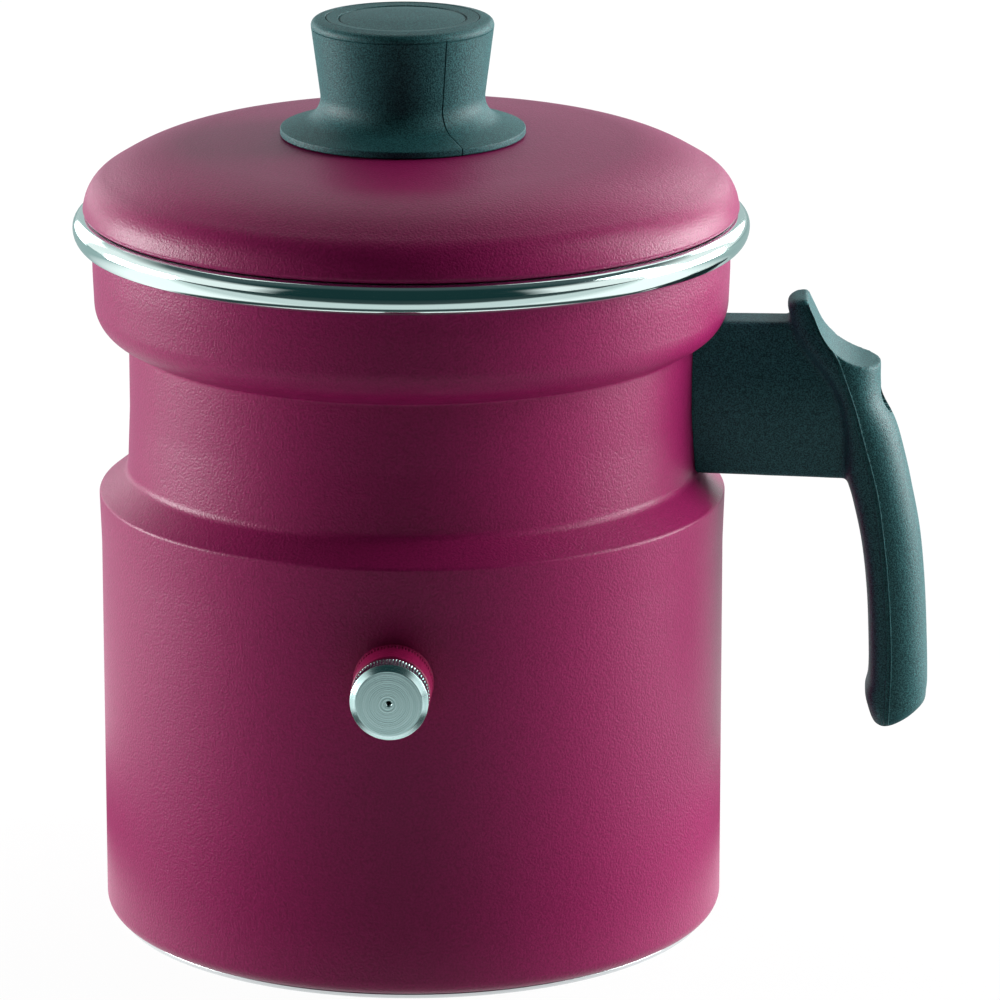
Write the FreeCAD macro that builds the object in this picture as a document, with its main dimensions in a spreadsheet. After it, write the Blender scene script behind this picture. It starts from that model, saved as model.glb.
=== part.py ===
"""Water-jacketed milk boiler with a lift-off lid, a screwed filler plug and a side handle.

Frame: +Z up, origin on the pot's axis where the base plate stands, handle along +X, plug along -Y.
All lengths are millimetres.
"""
import FreeCAD, Part
import math
import os
import Sketcher
from FreeCAD import Placement, Rotation, Vector

document = FreeCAD.newDocument("milk_boiler")


# ---------------------------------------------------------------------------------------------
# Driving sizes: one sheet row each, with the cell's alias, its value and what it measures.
# ---------------------------------------------------------------------------------------------
ROWS = [
    ("wall_radius", 70.0, "outside of the straight wall"),
    ("base_plate_inset", 2.7, "how far the bare steel plate under the jacket stays inside the wall"),
    ("base_plate_gauge", 1.0, "thickness of that plate"),
    ("base_groove_count", 4, "rings turned in the plate's underside"),
    ("base_groove_pitch", 12.0, "radial step from ring to ring"),
    ("base_groove_width", 1.0, "width of a turned ring"),
    ("base_groove_depth", 0.3, "depth of a turned ring"),
    ("jacket_gauge", 1.5, "aluminium sheet of the outer jacket"),
    ("base_corner_radius", 3.5, "outside bend from the bottom to the wall"),
    ("wall_straight_height", 87.0, "where the wall starts to swell to the shoulder"),
    ("shoulder_swell", 0.4, "how far the shoulder's edge stands out from the wall"),
    ("shoulder_swell_rise", 11.7, "height over which the wall swells"),
    ("shoulder_edge_radius", 1.0, "bend at the shoulder's outer edge"),
    ("shoulder_reach", 6.5, "how far the shoulder runs in to the neck"),
    ("shoulder_rise", 5.1, "how far it rises on the way"),
    ("neck_root_bend", 2.5, "bend from the shoulder up into the neck"),
    ("neck_taper", 0.6, "how far the neck still draws in above the shoulder"),
    ("neck_taper_rise", 14.2, "height over which it draws in"),
    ("neck_straight_rise", 15.7, "straight part of the neck"),
    ("collar_root_bend", 1.0, "bend at the foot of the flare"),
    ("collar_flare", 7.4, "how far the collar flares out from the neck"),
    ("collar_flare_rise", 3.7, "rise of the flare"),
    ("collar_bend", 8.0, "round underside of the collar"),
    ("collar_draft", 0.5, "how far the collar still widens above it"),
    ("collar_draft_rise", 12.6, "height over which it widens"),
    ("collar_straight_rise", 7.3, "straight part of the collar, up to its flange"),
    ("rim_bend", 0.2, "bend from the collar out into the rim flange"),
    ("rim_flange_reach", 2.4, "how far the jacket's flange stands out from the collar"),
    ("vessel_gauge", 1.2, "aluminium sheet of the inner vessel"),
    ("floor_gap", 8.0, "water space under the inner vessel"),
    ("neck_gap", 0.5, "space between the vessel and the neck"),
    ("nest_gap", 0.3, "space between the two collars"),
    ("flange_gap", 0.05, "space between the two rim flanges"),
    ("vessel_floor_bend", 9.0, "outside bend from the vessel's floor to its wall"),
    ("vessel_flange_extra", 0.6, "how far the vessel's flange passes the jacket's"),
    ("ring_reach", 1.3, "middle of the rim bead, out from the collar"),
    ("ring_rise", 2.0, "middle of the bead above the underside of the jacket's flange"),
    ("ring_seat_gap", 0.12, "space between the bead and the flange's edge"),
    ("ring_gauge", 0.6, "steel strip of the bead"),
    ("ring_lip_gap", 0.12, "space between the bead's lips and the sheets it holds"),
    ("lid_gauge", 1.0, "aluminium sheet of the lid"),
    ("lid_seat_gap", 0.1, "space between the lid's edge and the bead"),
    ("lid_overhang", 0.9, "how far the lid's edge stands out from the bead's middle"),
    ("lid_rise", 17.2, "flat middle of the lid above its edge"),
    ("lid_seat_margin", 0.5, "flat metal left round the knob's foot"),
    ("lid_shoulder_inset", 13.85, "the shoulder's corner inside the side's corner"),
    ("lid_shoulder_drop", 2.35, "that corner below the flat middle"),
    ("lid_shoulder_radius", 39.0, "bend of the shoulder"),
    ("lid_side_inset", 1.35, "the side's corner inside the lid's edge"),
    ("lid_side_rise", 6.5, "that corner above the lid's edge"),
    ("lid_side_radius", 9.5, "bend of the side"),
    ("lid_hem_radius", 1.1, "outside bend of the hemmed edge"),
    ("lid_skirt_gap", 0.6, "space between the locating skirt and the vessel"),
    ("lid_skirt_depth", 8.4, "how far the skirt reaches below the lid's edge"),
    ("lid_skirt_bend", 0.5, "bend from the flat flange down to the skirt"),
    ("knob_offset", -1.8, "the knob sits this far from the pot's axis, along X"),
    ("knob_seat_gap", 0.06, "space between the knob's foot and the lid"),
    ("knob_waist_radius", 17.6, "cone of the grip, run down to the foot"),
    ("knob_foot_reach", 9.9, "how far the foot stands out from the waist"),
    ("knob_foot_width", 5.5, "width of the ring it stands on"),
    ("knob_foot_gauge", 1.25, "edge of the foot"),
    ("knob_foot_edge", 0.4, "rounding of that edge"),
    ("knob_flare_radius", 7.3, "sweep from the foot into the grip"),
    ("knob_taper", 2.95, "how much wider the grip is at its top"),
    ("knob_rise", 26.8, "top of the knob above its foot"),
    ("knob_top_bend", 3.5, "rounding of the top edge"),
    ("knob_wall", 3.0, "wall left round the cored-out space"),
    ("knob_core_depth", 15.5, "depth of that space"),
    ("knob_post_radius", 8.0, "post that holds the insert"),
    ("knob_post_gap", 0.15, "space between the post and the lid"),
    ("cap_inset", 5.55, "the disc let into the knob's top stays this far inside it"),
    ("cap_gap", 0.25, "groove round that disc"),
    ("cap_gauge", 2.2, "thickness of the disc"),
    ("cap_floor_gap", 0.05, "space under the disc"),
    ("cap_edge", 0.6, "rounding of the disc"),
    ("cap_proud", 0.25, "how far the disc stands above the knob"),
    ("insert_radius", 4.0, "brass insert in the knob"),
    ("insert_length", 12.0, "length of the insert"),
    ("insert_end_gauge", 1.5, "its closed end"),
    ("insert_gap", 0.05, "space between the insert and the knob"),
    ("knob_screw_radius", 2.5, "M5 screw under the lid"),
    ("knob_screw_hold", 9.1, "how far the screw reaches into the insert"),
    ("knob_screw_head_radius", 4.5, "its pan head"),
    ("knob_screw_head_height", 3.0, "height of that head"),
    ("knob_washer_radius", 7.0, "washer under the lid"),
    ("knob_washer_gauge", 1.2, "thickness of that washer"),
    ("thread_gap", 0.06, "running space between a screw and its thread"),
    ("hole_gap", 0.3, "space round a screw in a plain hole"),
    ("face_gap", 0.03, "space between faces that are screwed together"),
    ("slot_width", 1.1, "slots across the screw heads"),
    ("slot_depth", 1.3, "depth of those slots"),
    ("plug_drop", 13.8, "the filler plug below the top of the straight wall"),
    ("boss_radius", 8.6, "filler bush outside the wall"),
    ("boss_length", 9.2, "how far the bush stands out from the wall"),
    ("boss_edge", 0.5, "chamfer of the bush"),
    ("boss_seat_gap", 0.03, "space between the bush and the wall"),
    ("spigot_radius", 6.6, "part of the bush that passes the wall"),
    ("spigot_gap", 0.1, "space round it in the wall"),
    ("spigot_lip", 0.9, "swaged lip inside the wall, beyond the spigot"),
    ("spigot_lip_gauge", 1.0, "thickness of the lip"),
    ("plug_thread_radius", 5.0, "M10 thread of the plug"),
    ("plug_thread_length", 10.6, "length of the thread under the head"),
    ("plug_radius", 8.45, "knurled head of the plug"),
    ("plug_head_length", 5.4, "length of the head"),
    ("plug_bevel", 1.1, "bevel round the plug's face"),
    ("plug_back_edge", 0.4, "bevel round the plug's back"),
    ("vent_radius", 0.5, "steam vent bored through the plug"),
    ("vent_sink", 0.45, "countersink of the vent"),
    ("seal_radius", 7.6, "silicone seal behind the head"),
    ("seal_gauge", 0.8, "thickness of the seal"),
    ("seal_gap", 0.1, "space to the bush and round the thread"),
    ("arm_top_rise", 34.7, "top of the handle's arm above the shoulder's inner corner"),
    ("arm_depth", 34.9, "depth of the arm at the neck"),
    ("arm_slope", 1.2, "how much deeper the arm is at the grip"),
    ("arm_edge_width", 9.6, "width of the arm at its top and underside"),
    ("arm_belly", 3.4, "how far each side swells beyond that"),
    ("arm_belly_bend", 40.0, "roundness of that swell"),
    ("arm_edge_bend", 1.2, "rounding of the arm's long edges"),
    ("arm_gap", 0.1, "space between the arm and the neck"),
    ("arm_end_inset", 3.0, "how far the arm runs on inside the grip"),
    ("thumb_width", 20.4, "thumb rest at its widest"),
    ("thumb_tip_span", 13.0, "its width at the tip"),
    ("thumb_lip_span", 15.0, "its width at the lip"),
    ("thumb_plan_bend", 6.0, "rounding of its corners seen from above"),
    ("thumb_corner_reach", 31.4, "neck to the hollow of the thumb rest"),
    ("thumb_corner_drop", 7.9, "that hollow below the arm's top"),
    ("thumb_hollow_radius", 12.0, "bend of the hollow"),
    ("thumb_tip_reach", 10.7, "the tip of the thumb rest inward from the hollow"),
    ("thumb_tip_rise", 14.3, "the tip above the hollow"),
    ("thumb_tip_gauge", 5.6, "thickness of the tip"),
    ("thumb_tip_bend", 1.8, "rounding of the tip"),
    ("lip_reach", 9.9, "the lip of the thumb rest outward from the hollow"),
    ("lip_drop", 1.0, "the lip below the hollow"),
    ("lip_bend", 1.2, "rounding of the lip"),
    ("lip_depth", 6.4, "depth of the lip, down to the flat for the screw"),
    ("back_reach", 34.0, "neck to the grip's inner side at the arm"),
    ("back_low_drop", 21.0, "lower corner of the thumb rest's back below the arm's top"),
    ("back_low_bend", 14.0, "bend of that corner"),
    ("back_foot_drop", 10.9, "how far the back runs on below that corner, inside the grip"),
    ("back_high_reach", 22.3, "neck to its upper corner"),
    ("back_high_drop", 3.6, "that corner below the arm's top"),
    ("back_high_bend", 10.0, "bend of that corner"),
    ("handle_screw_drop", 18.2, "the handle's screw below the arm's top"),
    ("handle_screw_radius", 2.0, "M4 screw through the arm"),
    ("handle_screw_hold", 7.1, "how far the screw reaches into the lug"),
    ("handle_screw_head_radius", 3.1, "its pan head"),
    ("handle_screw_head_height", 2.6, "height of that head"),
    ("handle_washer_radius", 3.2, "washer under the head"),
    ("handle_washer_gauge", 0.8, "thickness of that washer"),
    ("handle_recess_gap", 0.3, "space round the washer in its recess"),
    ("handle_recess_reach", 33.7, "neck to the floor of the recess"),
    ("lug_radius", 4.5, "lug on the neck that takes the screw"),
    ("lug_reach", 13.7, "neck to the end of the lug"),
    ("lug_plate_inset", 4.95, "the lug's welded plate inside the arm's top and underside"),
    ("lug_plate_width", 9.0, "width of that plate"),
    ("lug_plate_gauge", 2.0, "thickness of that plate"),
    ("lug_gap", 0.15, "space between the lug and the arm"),
    ("lug_seat_gap", 0.03, "space between the lug and the neck"),
    ("grip_count", 9, "elliptical sections of the grip, from the thumb rest to its toe"),
    ("grip_out_1", 36.6, "middle of the grip's section 1, out from the neck"),
    ("grip_down_1", 17.4, "section 1 below the arm's top"),
    ("grip_half_gauge_1", 5.2, "half the thickness of section 1"),
    ("grip_half_width_1", 9.0, "half the width of section 1"),
    ("grip_tilt_1", 24.0, "degrees that the outer side of section 1 is tipped up"),
    ("grip_out_2", 3.3, "section 2 further out than the one above"),
    ("grip_down_2", 11.6, "section 2 below the one above"),
    ("grip_half_gauge_2", 6.3, "half the thickness of section 2"),
    ("grip_half_width_2", 9.7, "half the width of section 2"),
    ("grip_tilt_2", 15.5, "degrees that the outer side of section 2 is tipped up"),
    ("grip_out_3", 2.2, "section 3 further out than the one above"),
    ("grip_down_3", 9.6, "section 3 below the one above"),
    ("grip_half_gauge_3", 6.6, "half the thickness of section 3"),
    ("grip_half_width_3", 10.0, "half the width of section 3"),
    ("grip_tilt_3", 12.0, "degrees that the outer side of section 3 is tipped up"),
    ("grip_out_4", 2.2, "section 4 further out than the one above"),
    ("grip_down_4", 11.5, "section 4 below the one above"),
    ("grip_half_gauge_4", 6.55, "half the thickness of section 4"),
    ("grip_half_width_4", 10.0, "half the width of section 4"),
    ("grip_tilt_4", 8.6, "degrees that the outer side of section 4 is tipped up"),
    ("grip_out_5", 1.5, "section 5 further out than the one above"),
    ("grip_down_5", 12.3, "section 5 below the one above"),
    ("grip_half_gauge_5", 6.55, "half the thickness of section 5"),
    ("grip_half_width_5", 10.0, "half the width of section 5"),
    ("grip_tilt_5", 5.0, "degrees that the outer side of section 5 is tipped up"),
    ("grip_out_6", 0.7, "section 6 further out than the one above"),
    ("grip_down_6", 13.6, "section 6 below the one above"),
    ("grip_half_gauge_6", 6.6, "half the thickness of section 6"),
    ("grip_half_width_6", 10.0, "half the width of section 6"),
    ("grip_tilt_6", 1.8, "degrees that the outer side of section 6 is tipped up"),
    ("grip_out_7", -0.1, "section 7 further out than the one above"),
    ("grip_down_7", 10.0, "section 7 below the one above"),
    ("grip_half_gauge_7", 6.8, "half the thickness of section 7"),
    ("grip_half_width_7", 9.8, "half the width of section 7"),
    ("grip_tilt_7", -1.5, "degrees that the outer side of section 7 is tipped up"),
    ("grip_out_8", -1.1, "section 8 further out than the one above"),
    ("grip_down_8", 5.5, "section 8 below the one above"),
    ("grip_half_gauge_8", 5.2, "half the thickness of section 8"),
    ("grip_half_width_8", 8.0, "half the width of section 8"),
    ("grip_tilt_8", -10.0, "degrees that the outer side of section 8 is tipped up"),
    ("grip_out_9", -0.8, "section 9 further out than the one above"),
    ("grip_down_9", 2.7, "section 9 below the one above"),
    ("grip_half_gauge_9", 2.2, "half the thickness of section 9"),
    ("grip_half_width_9", 4.4, "half the width of section 9"),
    ("grip_tilt_9", -14.0, "degrees that the outer side of section 9 is tipped up"),
]

sheet = document.addObject("Spreadsheet::Sheet", "sizes")
for row, (alias, value, meaning) in enumerate(ROWS, start=1):
    sheet.set("A%d" % row, alias)
    sheet.set("B%d" % row, str(value))
    sheet.set("C%d" % row, meaning)
    sheet.setAlias("B%d" % row, alias)
document.recompute()


class Size:
    """A length that knows its value and the sheet formula behind it.

    Sketches are first drawn at the value and then bound to the formula.
    """

    def __init__(self, value, formula):
        self.value = float(value)
        self.formula = formula

    def __add__(self, other):
        other = as_size(other)
        return Size(self.value + other.value, "(%s + %s)" % (self.formula, other.formula))

    def __sub__(self, other):
        other = as_size(other)
        return Size(self.value - other.value, "(%s - %s)" % (self.formula, other.formula))

    def __mul__(self, other):
        other = as_size(other)
        return Size(self.value * other.value, "(%s * %s)" % (self.formula, other.formula))

    def __truediv__(self, other):
        other = as_size(other)
        return Size(self.value / other.value, "(%s / %s)" % (self.formula, other.formula))

    def __radd__(self, other):
        return as_size(other) + self

    def __rsub__(self, other):
        return as_size(other) - self

    def __rmul__(self, other):
        return as_size(other) * self

    def __neg__(self):
        return as_size(0) - self

    def root(self):
        return Size(math.sqrt(self.value), "sqrt(%s)" % self.formula)


def as_size(thing):
    """A plain number as a Size."""
    return thing if isinstance(thing, Size) else Size(thing, repr(float(thing)))


class Sheet:
    """The sheet's cells by name, each one as a Size."""

    def __init__(self, rows):
        for alias, value, _ in rows:
            setattr(self, alias, Size(value, "sizes." + alias))


S = Sheet(ROWS)


def bind(thing, **properties):
    """Bind each named property of an object to the formula of its Size."""
    for name, length in properties.items():
        thing.setExpression(name, as_size(length).formula)


def place(thing, rotation=Rotation(), **offsets):
    """Turn an object and bind the x, y or z of its Placement."""
    thing.Placement = Placement(Vector(), rotation)
    for axis, offset in offsets.items():
        thing.setExpression("Placement.Base." + axis, as_size(offset).formula)


# ---------------------------------------------------------------------------------------------
# Outlines: corners joined by straight runs and rounded by tangent arcs.
# ---------------------------------------------------------------------------------------------
# Numbers by which a constraint knows the sketch's own axes and the marks on a shape.
VERTICAL_AXIS, FLAT_AXIS = range(-2, 0)
ORIGIN = FLAT_AXIS
START, END, MIDDLE = range(1, 4)


def hold_point(sketch, shape, end, across, up):
    """Hold a point of the sketch at its distances from the origin."""
    if across.value == 0:
        sketch.addConstraint(Sketcher.Constraint("PointOnObject", shape, end, VERTICAL_AXIS))
    else:
        rule = Sketcher.Constraint("DistanceX", ORIGIN, START, shape, end, across.value)
        sketch.setExpression("Constraints[%d]" % sketch.addConstraint(rule), across.formula)
    if up.value == 0:
        sketch.addConstraint(Sketcher.Constraint("PointOnObject", shape, end, FLAT_AXIS))
    else:
        rule = Sketcher.Constraint("DistanceY", ORIGIN, START, shape, end, up.value)
        sketch.setExpression("Constraints[%d]" % sketch.addConstraint(rule), up.formula)


def rounding(before, corner, after, radius):
    """Centre of a corner's tangent arc, and where the arc leaves one run and meets the next."""
    back = (before - corner).normalize()
    onward = (after - corner).normalize()
    half_angle = math.acos(back * onward) / 2
    reach = radius / math.tan(half_angle)
    centre = corner + (back + onward).normalize() * (radius / math.sin(half_angle))
    return centre, corner + back * reach, corner + onward * reach


def add_arc(sketch, centre, radius, start, end):
    """Add a counter-clockwise arc between two points of a circle."""
    angles = [math.atan2(point.y - centre.y, point.x - centre.x) for point in (start, end)]
    circle = Part.Circle(centre, Vector(0, 0, 1), radius)
    return sketch.addGeometry(Part.ArcOfCircle(circle, *angles), False)


def draw_outline(sketch, corners, closed):
    """Draw corners given as (across, up, bend), where a bend of 0 leaves the corner sharp.

    A rounded corner is a construction point that lies on the two runs beside its tangent arc.
    """
    corners = [tuple(as_size(part) for part in corner) for corner in corners]
    count = len(corners)
    points = [Vector(across.value, up.value, 0) for across, up, _ in corners]
    spans = count if closed else count - 1
    bends = []
    for index, (_, _, bend) in enumerate(corners):
        between_runs = closed or 0 < index < count - 1
        if between_runs and bend.value > 0:
            after = points[(index + 1) % count]
            bends.append(rounding(points[index - 1], points[index], after, bend.value))
        else:
            bends.append(None)

    runs = []
    for index in range(spans):
        following = (index + 1) % count
        start = bends[index][2] if bends[index] else points[index]
        end = bends[following][1] if bends[following] else points[following]
        runs.append(sketch.addGeometry(Part.LineSegment(start, end), False))

    for index, (across, up, bend) in enumerate(corners):
        if bends[index]:
            corner = sketch.addGeometry(Part.Point(points[index]), True)
            hold_point(sketch, corner, START, across, up)
            for run in (runs[index - 1], runs[index]):
                sketch.addConstraint(Sketcher.Constraint("PointOnObject", corner, START, run))
            centre, leaving, meeting = bends[index]
            turns_left = (points[index] - leaving).cross(meeting - points[index]).z > 0
            if turns_left:
                arc = add_arc(sketch, centre, bend.value, leaving, meeting)
                first, last = START, END
            else:
                arc = add_arc(sketch, centre, bend.value, meeting, leaving)
                first, last = END, START
            sketch.addConstraint(Sketcher.Constraint("Tangent", runs[index - 1], END, arc, first))
            sketch.addConstraint(Sketcher.Constraint("Tangent", runs[index], START, arc, last))
            rule = Sketcher.Constraint("Radius", arc, bend.value)
            sketch.setExpression("Constraints[%d]" % sketch.addConstraint(rule), bend.formula)
        elif index < spans:
            hold_point(sketch, runs[index], START, across, up)
            if closed or index > 0:
                rule = Sketcher.Constraint("Coincident", runs[index - 1], END, runs[index], START)
                sketch.addConstraint(rule)
        else:
            hold_point(sketch, runs[-1], END, across, up)


# ---------------------------------------------------------------------------------------------
# Ways of making a piece.
# ---------------------------------------------------------------------------------------------
UPRIGHT = Rotation(Vector(1, 0, 0), 90)
OUT_OF_FRONT = Rotation(Vector(1, 0, 0), 90)
OUT_OF_SIDE = Rotation(Vector(0, 1, 0), 90)
ACROSS_SIDE = Rotation(Vector(1, 1, 1), 120)


def plane_of(body, role):
    """One of a body's own origin planes."""
    return next(part for part in body.Origin.OriginFeatures if part.Role == role)


def new_sketch(body, role, name):
    """A sketch of a body on one of its origin planes."""
    sketch = body.newObject("Sketcher::SketchObject", name)
    sketch.AttachmentSupport = (plane_of(body, role), [""])
    sketch.MapMode = "FlatFace"
    return sketch


def turned_body(label, corners):
    """A body turned about its own Z axis from a closed half outline."""
    body = document.addObject("PartDesign::Body", label)
    body.Label = label
    outline = new_sketch(body, "XZ_Plane", label + "_outline")
    draw_outline(outline, corners, closed=True)
    turning = body.newObject("PartDesign::Revolution", label + "_turning")
    turning.Profile = outline
    turning.ReferenceAxis = (outline, ["V_Axis"])
    turning.Angle = 360
    document.recompute()
    return body


def spun_sheet(label, corners, gauge, inward):
    """A sheet spun about Z: an outer line, thickened by its gauge to the left or right of it."""
    line = document.addObject("Sketcher::SketchObject", label + "_line")
    line.Placement = Placement(Vector(), UPRIGHT)
    draw_outline(line, corners, closed=False)
    section = document.addObject("Part::Offset2D", label + "_section")
    section.Source = line
    section.Mode = "Skin"
    section.Join = "Intersection"
    section.Fill = True
    bind(section, Value=gauge if inward else -gauge)
    sheet_part = document.addObject("Part::Revolution", label + "_spun")
    sheet_part.Source = section
    sheet_part.Axis = (0, 0, 1)
    sheet_part.Base = (0, 0, 0)
    sheet_part.Angle = 360
    sheet_part.Solid = True
    document.recompute()
    return sheet_part


def cylinder(label, radius, length, rotation=Rotation(), **offsets):
    """A round bar or cutter."""
    bar = document.addObject("Part::Cylinder", label)
    bind(bar, Radius=radius, Height=length)
    place(bar, rotation, **offsets)
    return bar


def block(label, length, width, height, **offsets):
    """A square bar or cutter, from its lowest corner."""
    bar = document.addObject("Part::Box", label)
    bind(bar, Length=length, Width=width, Height=height)
    place(bar, **offsets)
    return bar


def cut(label, base, tool):
    """Base with the tool taken away."""
    result = document.addObject("Part::Cut", label)
    result.Base = base
    result.Tool = tool
    result.Label = label
    return result


def fuse(label, *shapes):
    """Several shapes joined to one."""
    result = document.addObject("Part::MultiFuse", label)
    result.Shapes = list(shapes)
    result.Refine = True
    result.Label = label
    return result


pieces = {}


# ---------------------------------------------------------------------------------------------
# Base plate: bare disc under the jacket, with rings turned in its underside.
# ---------------------------------------------------------------------------------------------
def make_base_plate():
    corners = [(0, S.base_plate_gauge, 0), (0, 0, 0)]
    for ring in range(1, int(S.base_groove_count.value) + 1):
        inner = ring * S.base_groove_pitch
        outer = inner + S.base_groove_width
        corners += [(inner, 0, 0), (inner, S.base_groove_depth, 0),
                    (outer, S.base_groove_depth, 0), (outer, 0, 0)]
    edge = S.wall_radius - S.base_plate_inset
    corners += [(edge, 0, 0), (edge, S.base_plate_gauge, 0)]
    return turned_body("base_plate", corners)


pieces["base_plate"] = make_base_plate()


# ---------------------------------------------------------------------------------------------
# Outer jacket: one drawn and spun aluminium shell, pierced for the filler bush.
# ---------------------------------------------------------------------------------------------
shoulder_radius = S.wall_radius + S.shoulder_swell
shoulder_height = S.wall_straight_height + S.shoulder_swell_rise
neck_root_radius = shoulder_radius - S.shoulder_reach
neck_root_height = shoulder_height + S.shoulder_rise
neck_radius = neck_root_radius - S.neck_taper
neck_straight_height = neck_root_height + S.neck_taper_rise
collar_root_height = neck_straight_height + S.neck_straight_rise
collar_low_radius = neck_radius + S.collar_flare
collar_low_height = collar_root_height + S.collar_flare_rise
collar_radius = collar_low_radius + S.collar_draft
collar_straight_height = collar_low_height + S.collar_draft_rise
flange_height = collar_straight_height + S.collar_straight_rise
flange_top = flange_height + S.jacket_gauge
plug_height = S.wall_straight_height - S.plug_drop
vessel_flange_height = flange_top + S.flange_gap
vessel_flange_top = vessel_flange_height + S.vessel_gauge


def make_outer_jacket():
    shell = spun_sheet("jacket", [
        (0, S.base_plate_gauge, 0),
        (S.wall_radius, S.base_plate_gauge, S.base_corner_radius),
        (S.wall_radius, S.wall_straight_height, 0),
        (shoulder_radius, shoulder_height, S.shoulder_edge_radius),
        (neck_root_radius, neck_root_height, S.neck_root_bend),
        (neck_radius, neck_straight_height, 0),
        (neck_radius, collar_root_height, S.collar_root_bend),
        (collar_low_radius, collar_low_height, S.collar_bend),
        (collar_radius, collar_straight_height, 0),
        (collar_radius, flange_height, S.rim_bend),
        (collar_radius + S.rim_flange_reach, flange_height, 0),
    ], S.jacket_gauge, inward=True)
    hole = cylinder("jacket_hole", S.spigot_radius + S.spigot_gap, 2 * S.wall_radius,
                    OUT_OF_FRONT, z=plug_height)
    return cut("outer_jacket", shell, hole)


pieces["outer_jacket"] = make_outer_jacket()


# ---------------------------------------------------------------------------------------------
# Inner vessel: the pot that holds the milk, nested in the jacket's neck and collar.
# ---------------------------------------------------------------------------------------------
vessel_radius = neck_radius - S.jacket_gauge - S.neck_gap
vessel_low_radius = collar_low_radius - S.jacket_gauge - S.nest_gap
vessel_collar_radius = collar_radius - S.jacket_gauge - S.nest_gap
vessel_inside_radius = vessel_collar_radius - S.vessel_gauge
vessel_floor = S.base_plate_gauge + S.jacket_gauge + S.floor_gap
nest_rise = S.jacket_gauge + S.nest_gap


def make_inner_vessel():
    vessel = spun_sheet("vessel", [
        (0, vessel_floor, 0),
        (vessel_radius, vessel_floor, S.vessel_floor_bend),
        (vessel_radius, collar_root_height + nest_rise, S.collar_root_bend),
        (vessel_low_radius, collar_low_height + nest_rise, S.collar_bend - nest_rise),
        (vessel_collar_radius, collar_straight_height, 0),
        (vessel_collar_radius, vessel_flange_height, S.rim_bend),
        (collar_radius + S.rim_flange_reach + S.vessel_flange_extra, vessel_flange_height, 0),
    ], S.vessel_gauge, inward=True)
    vessel.Label = "inner_vessel"
    return vessel


pieces["inner_vessel"] = make_inner_vessel()


# ---------------------------------------------------------------------------------------------
# Rim ring: a steel strip rolled to an open bead over both flanges.
# ---------------------------------------------------------------------------------------------
ring_centre_radius = collar_radius + S.ring_reach
ring_centre_height = flange_height + S.ring_rise
flange_past_ring = S.rim_flange_reach - S.ring_reach
flange_corner_radius = (flange_past_ring * flange_past_ring + S.ring_rise * S.ring_rise).root()
ring_inside = flange_corner_radius + S.ring_seat_gap
ring_outside = ring_inside + S.ring_gauge


def make_rim_ring():
    body = document.addObject("PartDesign::Body", "rim_ring")
    body.Label = "rim_ring"
    section = new_sketch(body, "XZ_Plane", "ring_section")
    centre = Vector(ring_centre_radius.value, ring_centre_height.value, 0)
    top_lip = vessel_flange_top + S.ring_lip_gap
    low_lip = collar_radius + S.ring_lip_gap
    lift = top_lip.value - centre.y
    shift = low_lip.value - centre.x
    arcs = []
    for radius in (ring_outside, ring_inside):
        start = math.atan2(-math.sqrt(radius.value ** 2 - shift ** 2), shift)
        end = math.atan2(lift, -math.sqrt(radius.value ** 2 - lift ** 2))
        circle = Part.Circle(centre, Vector(0, 0, 1), radius.value)
        arc = section.addGeometry(Part.ArcOfCircle(circle, start, end), False)
        arcs.append(arc)
        rule = Sketcher.Constraint("Radius", arc, radius.value)
        section.setExpression("Constraints[%d]" % section.addConstraint(rule), radius.formula)
    outer_arc, inner_arc = arcs
    section.addConstraint(Sketcher.Constraint("Coincident", outer_arc, MIDDLE, inner_arc, MIDDLE))
    hold_point(section, outer_arc, MIDDLE, ring_centre_radius, ring_centre_height)
    shapes = section.Geometry
    lips = []
    for end in (START, END):
        points = [shapes[arc].StartPoint if end == START else shapes[arc].EndPoint for arc in arcs]
        lip = section.addGeometry(Part.LineSegment(*points), False)
        lips.append(lip)
        section.addConstraint(Sketcher.Constraint("Coincident", lip, START, outer_arc, end))
        section.addConstraint(Sketcher.Constraint("Coincident", lip, END, inner_arc, end))
    section.addConstraint(Sketcher.Constraint("Vertical", lips[0]))
    section.addConstraint(Sketcher.Constraint("Horizontal", lips[1]))
    rule = Sketcher.Constraint("DistanceX", ORIGIN, START, lips[0], START, low_lip.value)
    section.setExpression("Constraints[%d]" % section.addConstraint(rule), low_lip.formula)
    rule = Sketcher.Constraint("DistanceY", ORIGIN, START, lips[1], START, top_lip.value)
    section.setExpression("Constraints[%d]" % section.addConstraint(rule), top_lip.formula)
    rolling = body.newObject("PartDesign::Revolution", "ring_rolling")
    rolling.Profile = section
    rolling.ReferenceAxis = (section, ["V_Axis"])
    rolling.Angle = 360
    return body


pieces["rim_ring"] = make_rim_ring()


# ---------------------------------------------------------------------------------------------
# Lid: one spun sheet, hemmed at its edge, with a flat flange and a skirt that locates it.
# ---------------------------------------------------------------------------------------------
lid_edge_height = ring_centre_height + ring_outside + S.lid_seat_gap
lid_top = lid_edge_height + S.lid_rise
lid_edge_radius = ring_centre_radius + S.lid_overhang
lid_side_width = lid_edge_radius - S.lid_side_inset
lid_shoulder_width = lid_side_width - S.lid_shoulder_inset
skirt_radius = vessel_inside_radius - S.lid_skirt_gap
knob_foot_radius = S.knob_waist_radius + S.knob_foot_reach
knob_seat_radius = knob_foot_radius - S.knob_offset + S.lid_seat_margin


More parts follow.
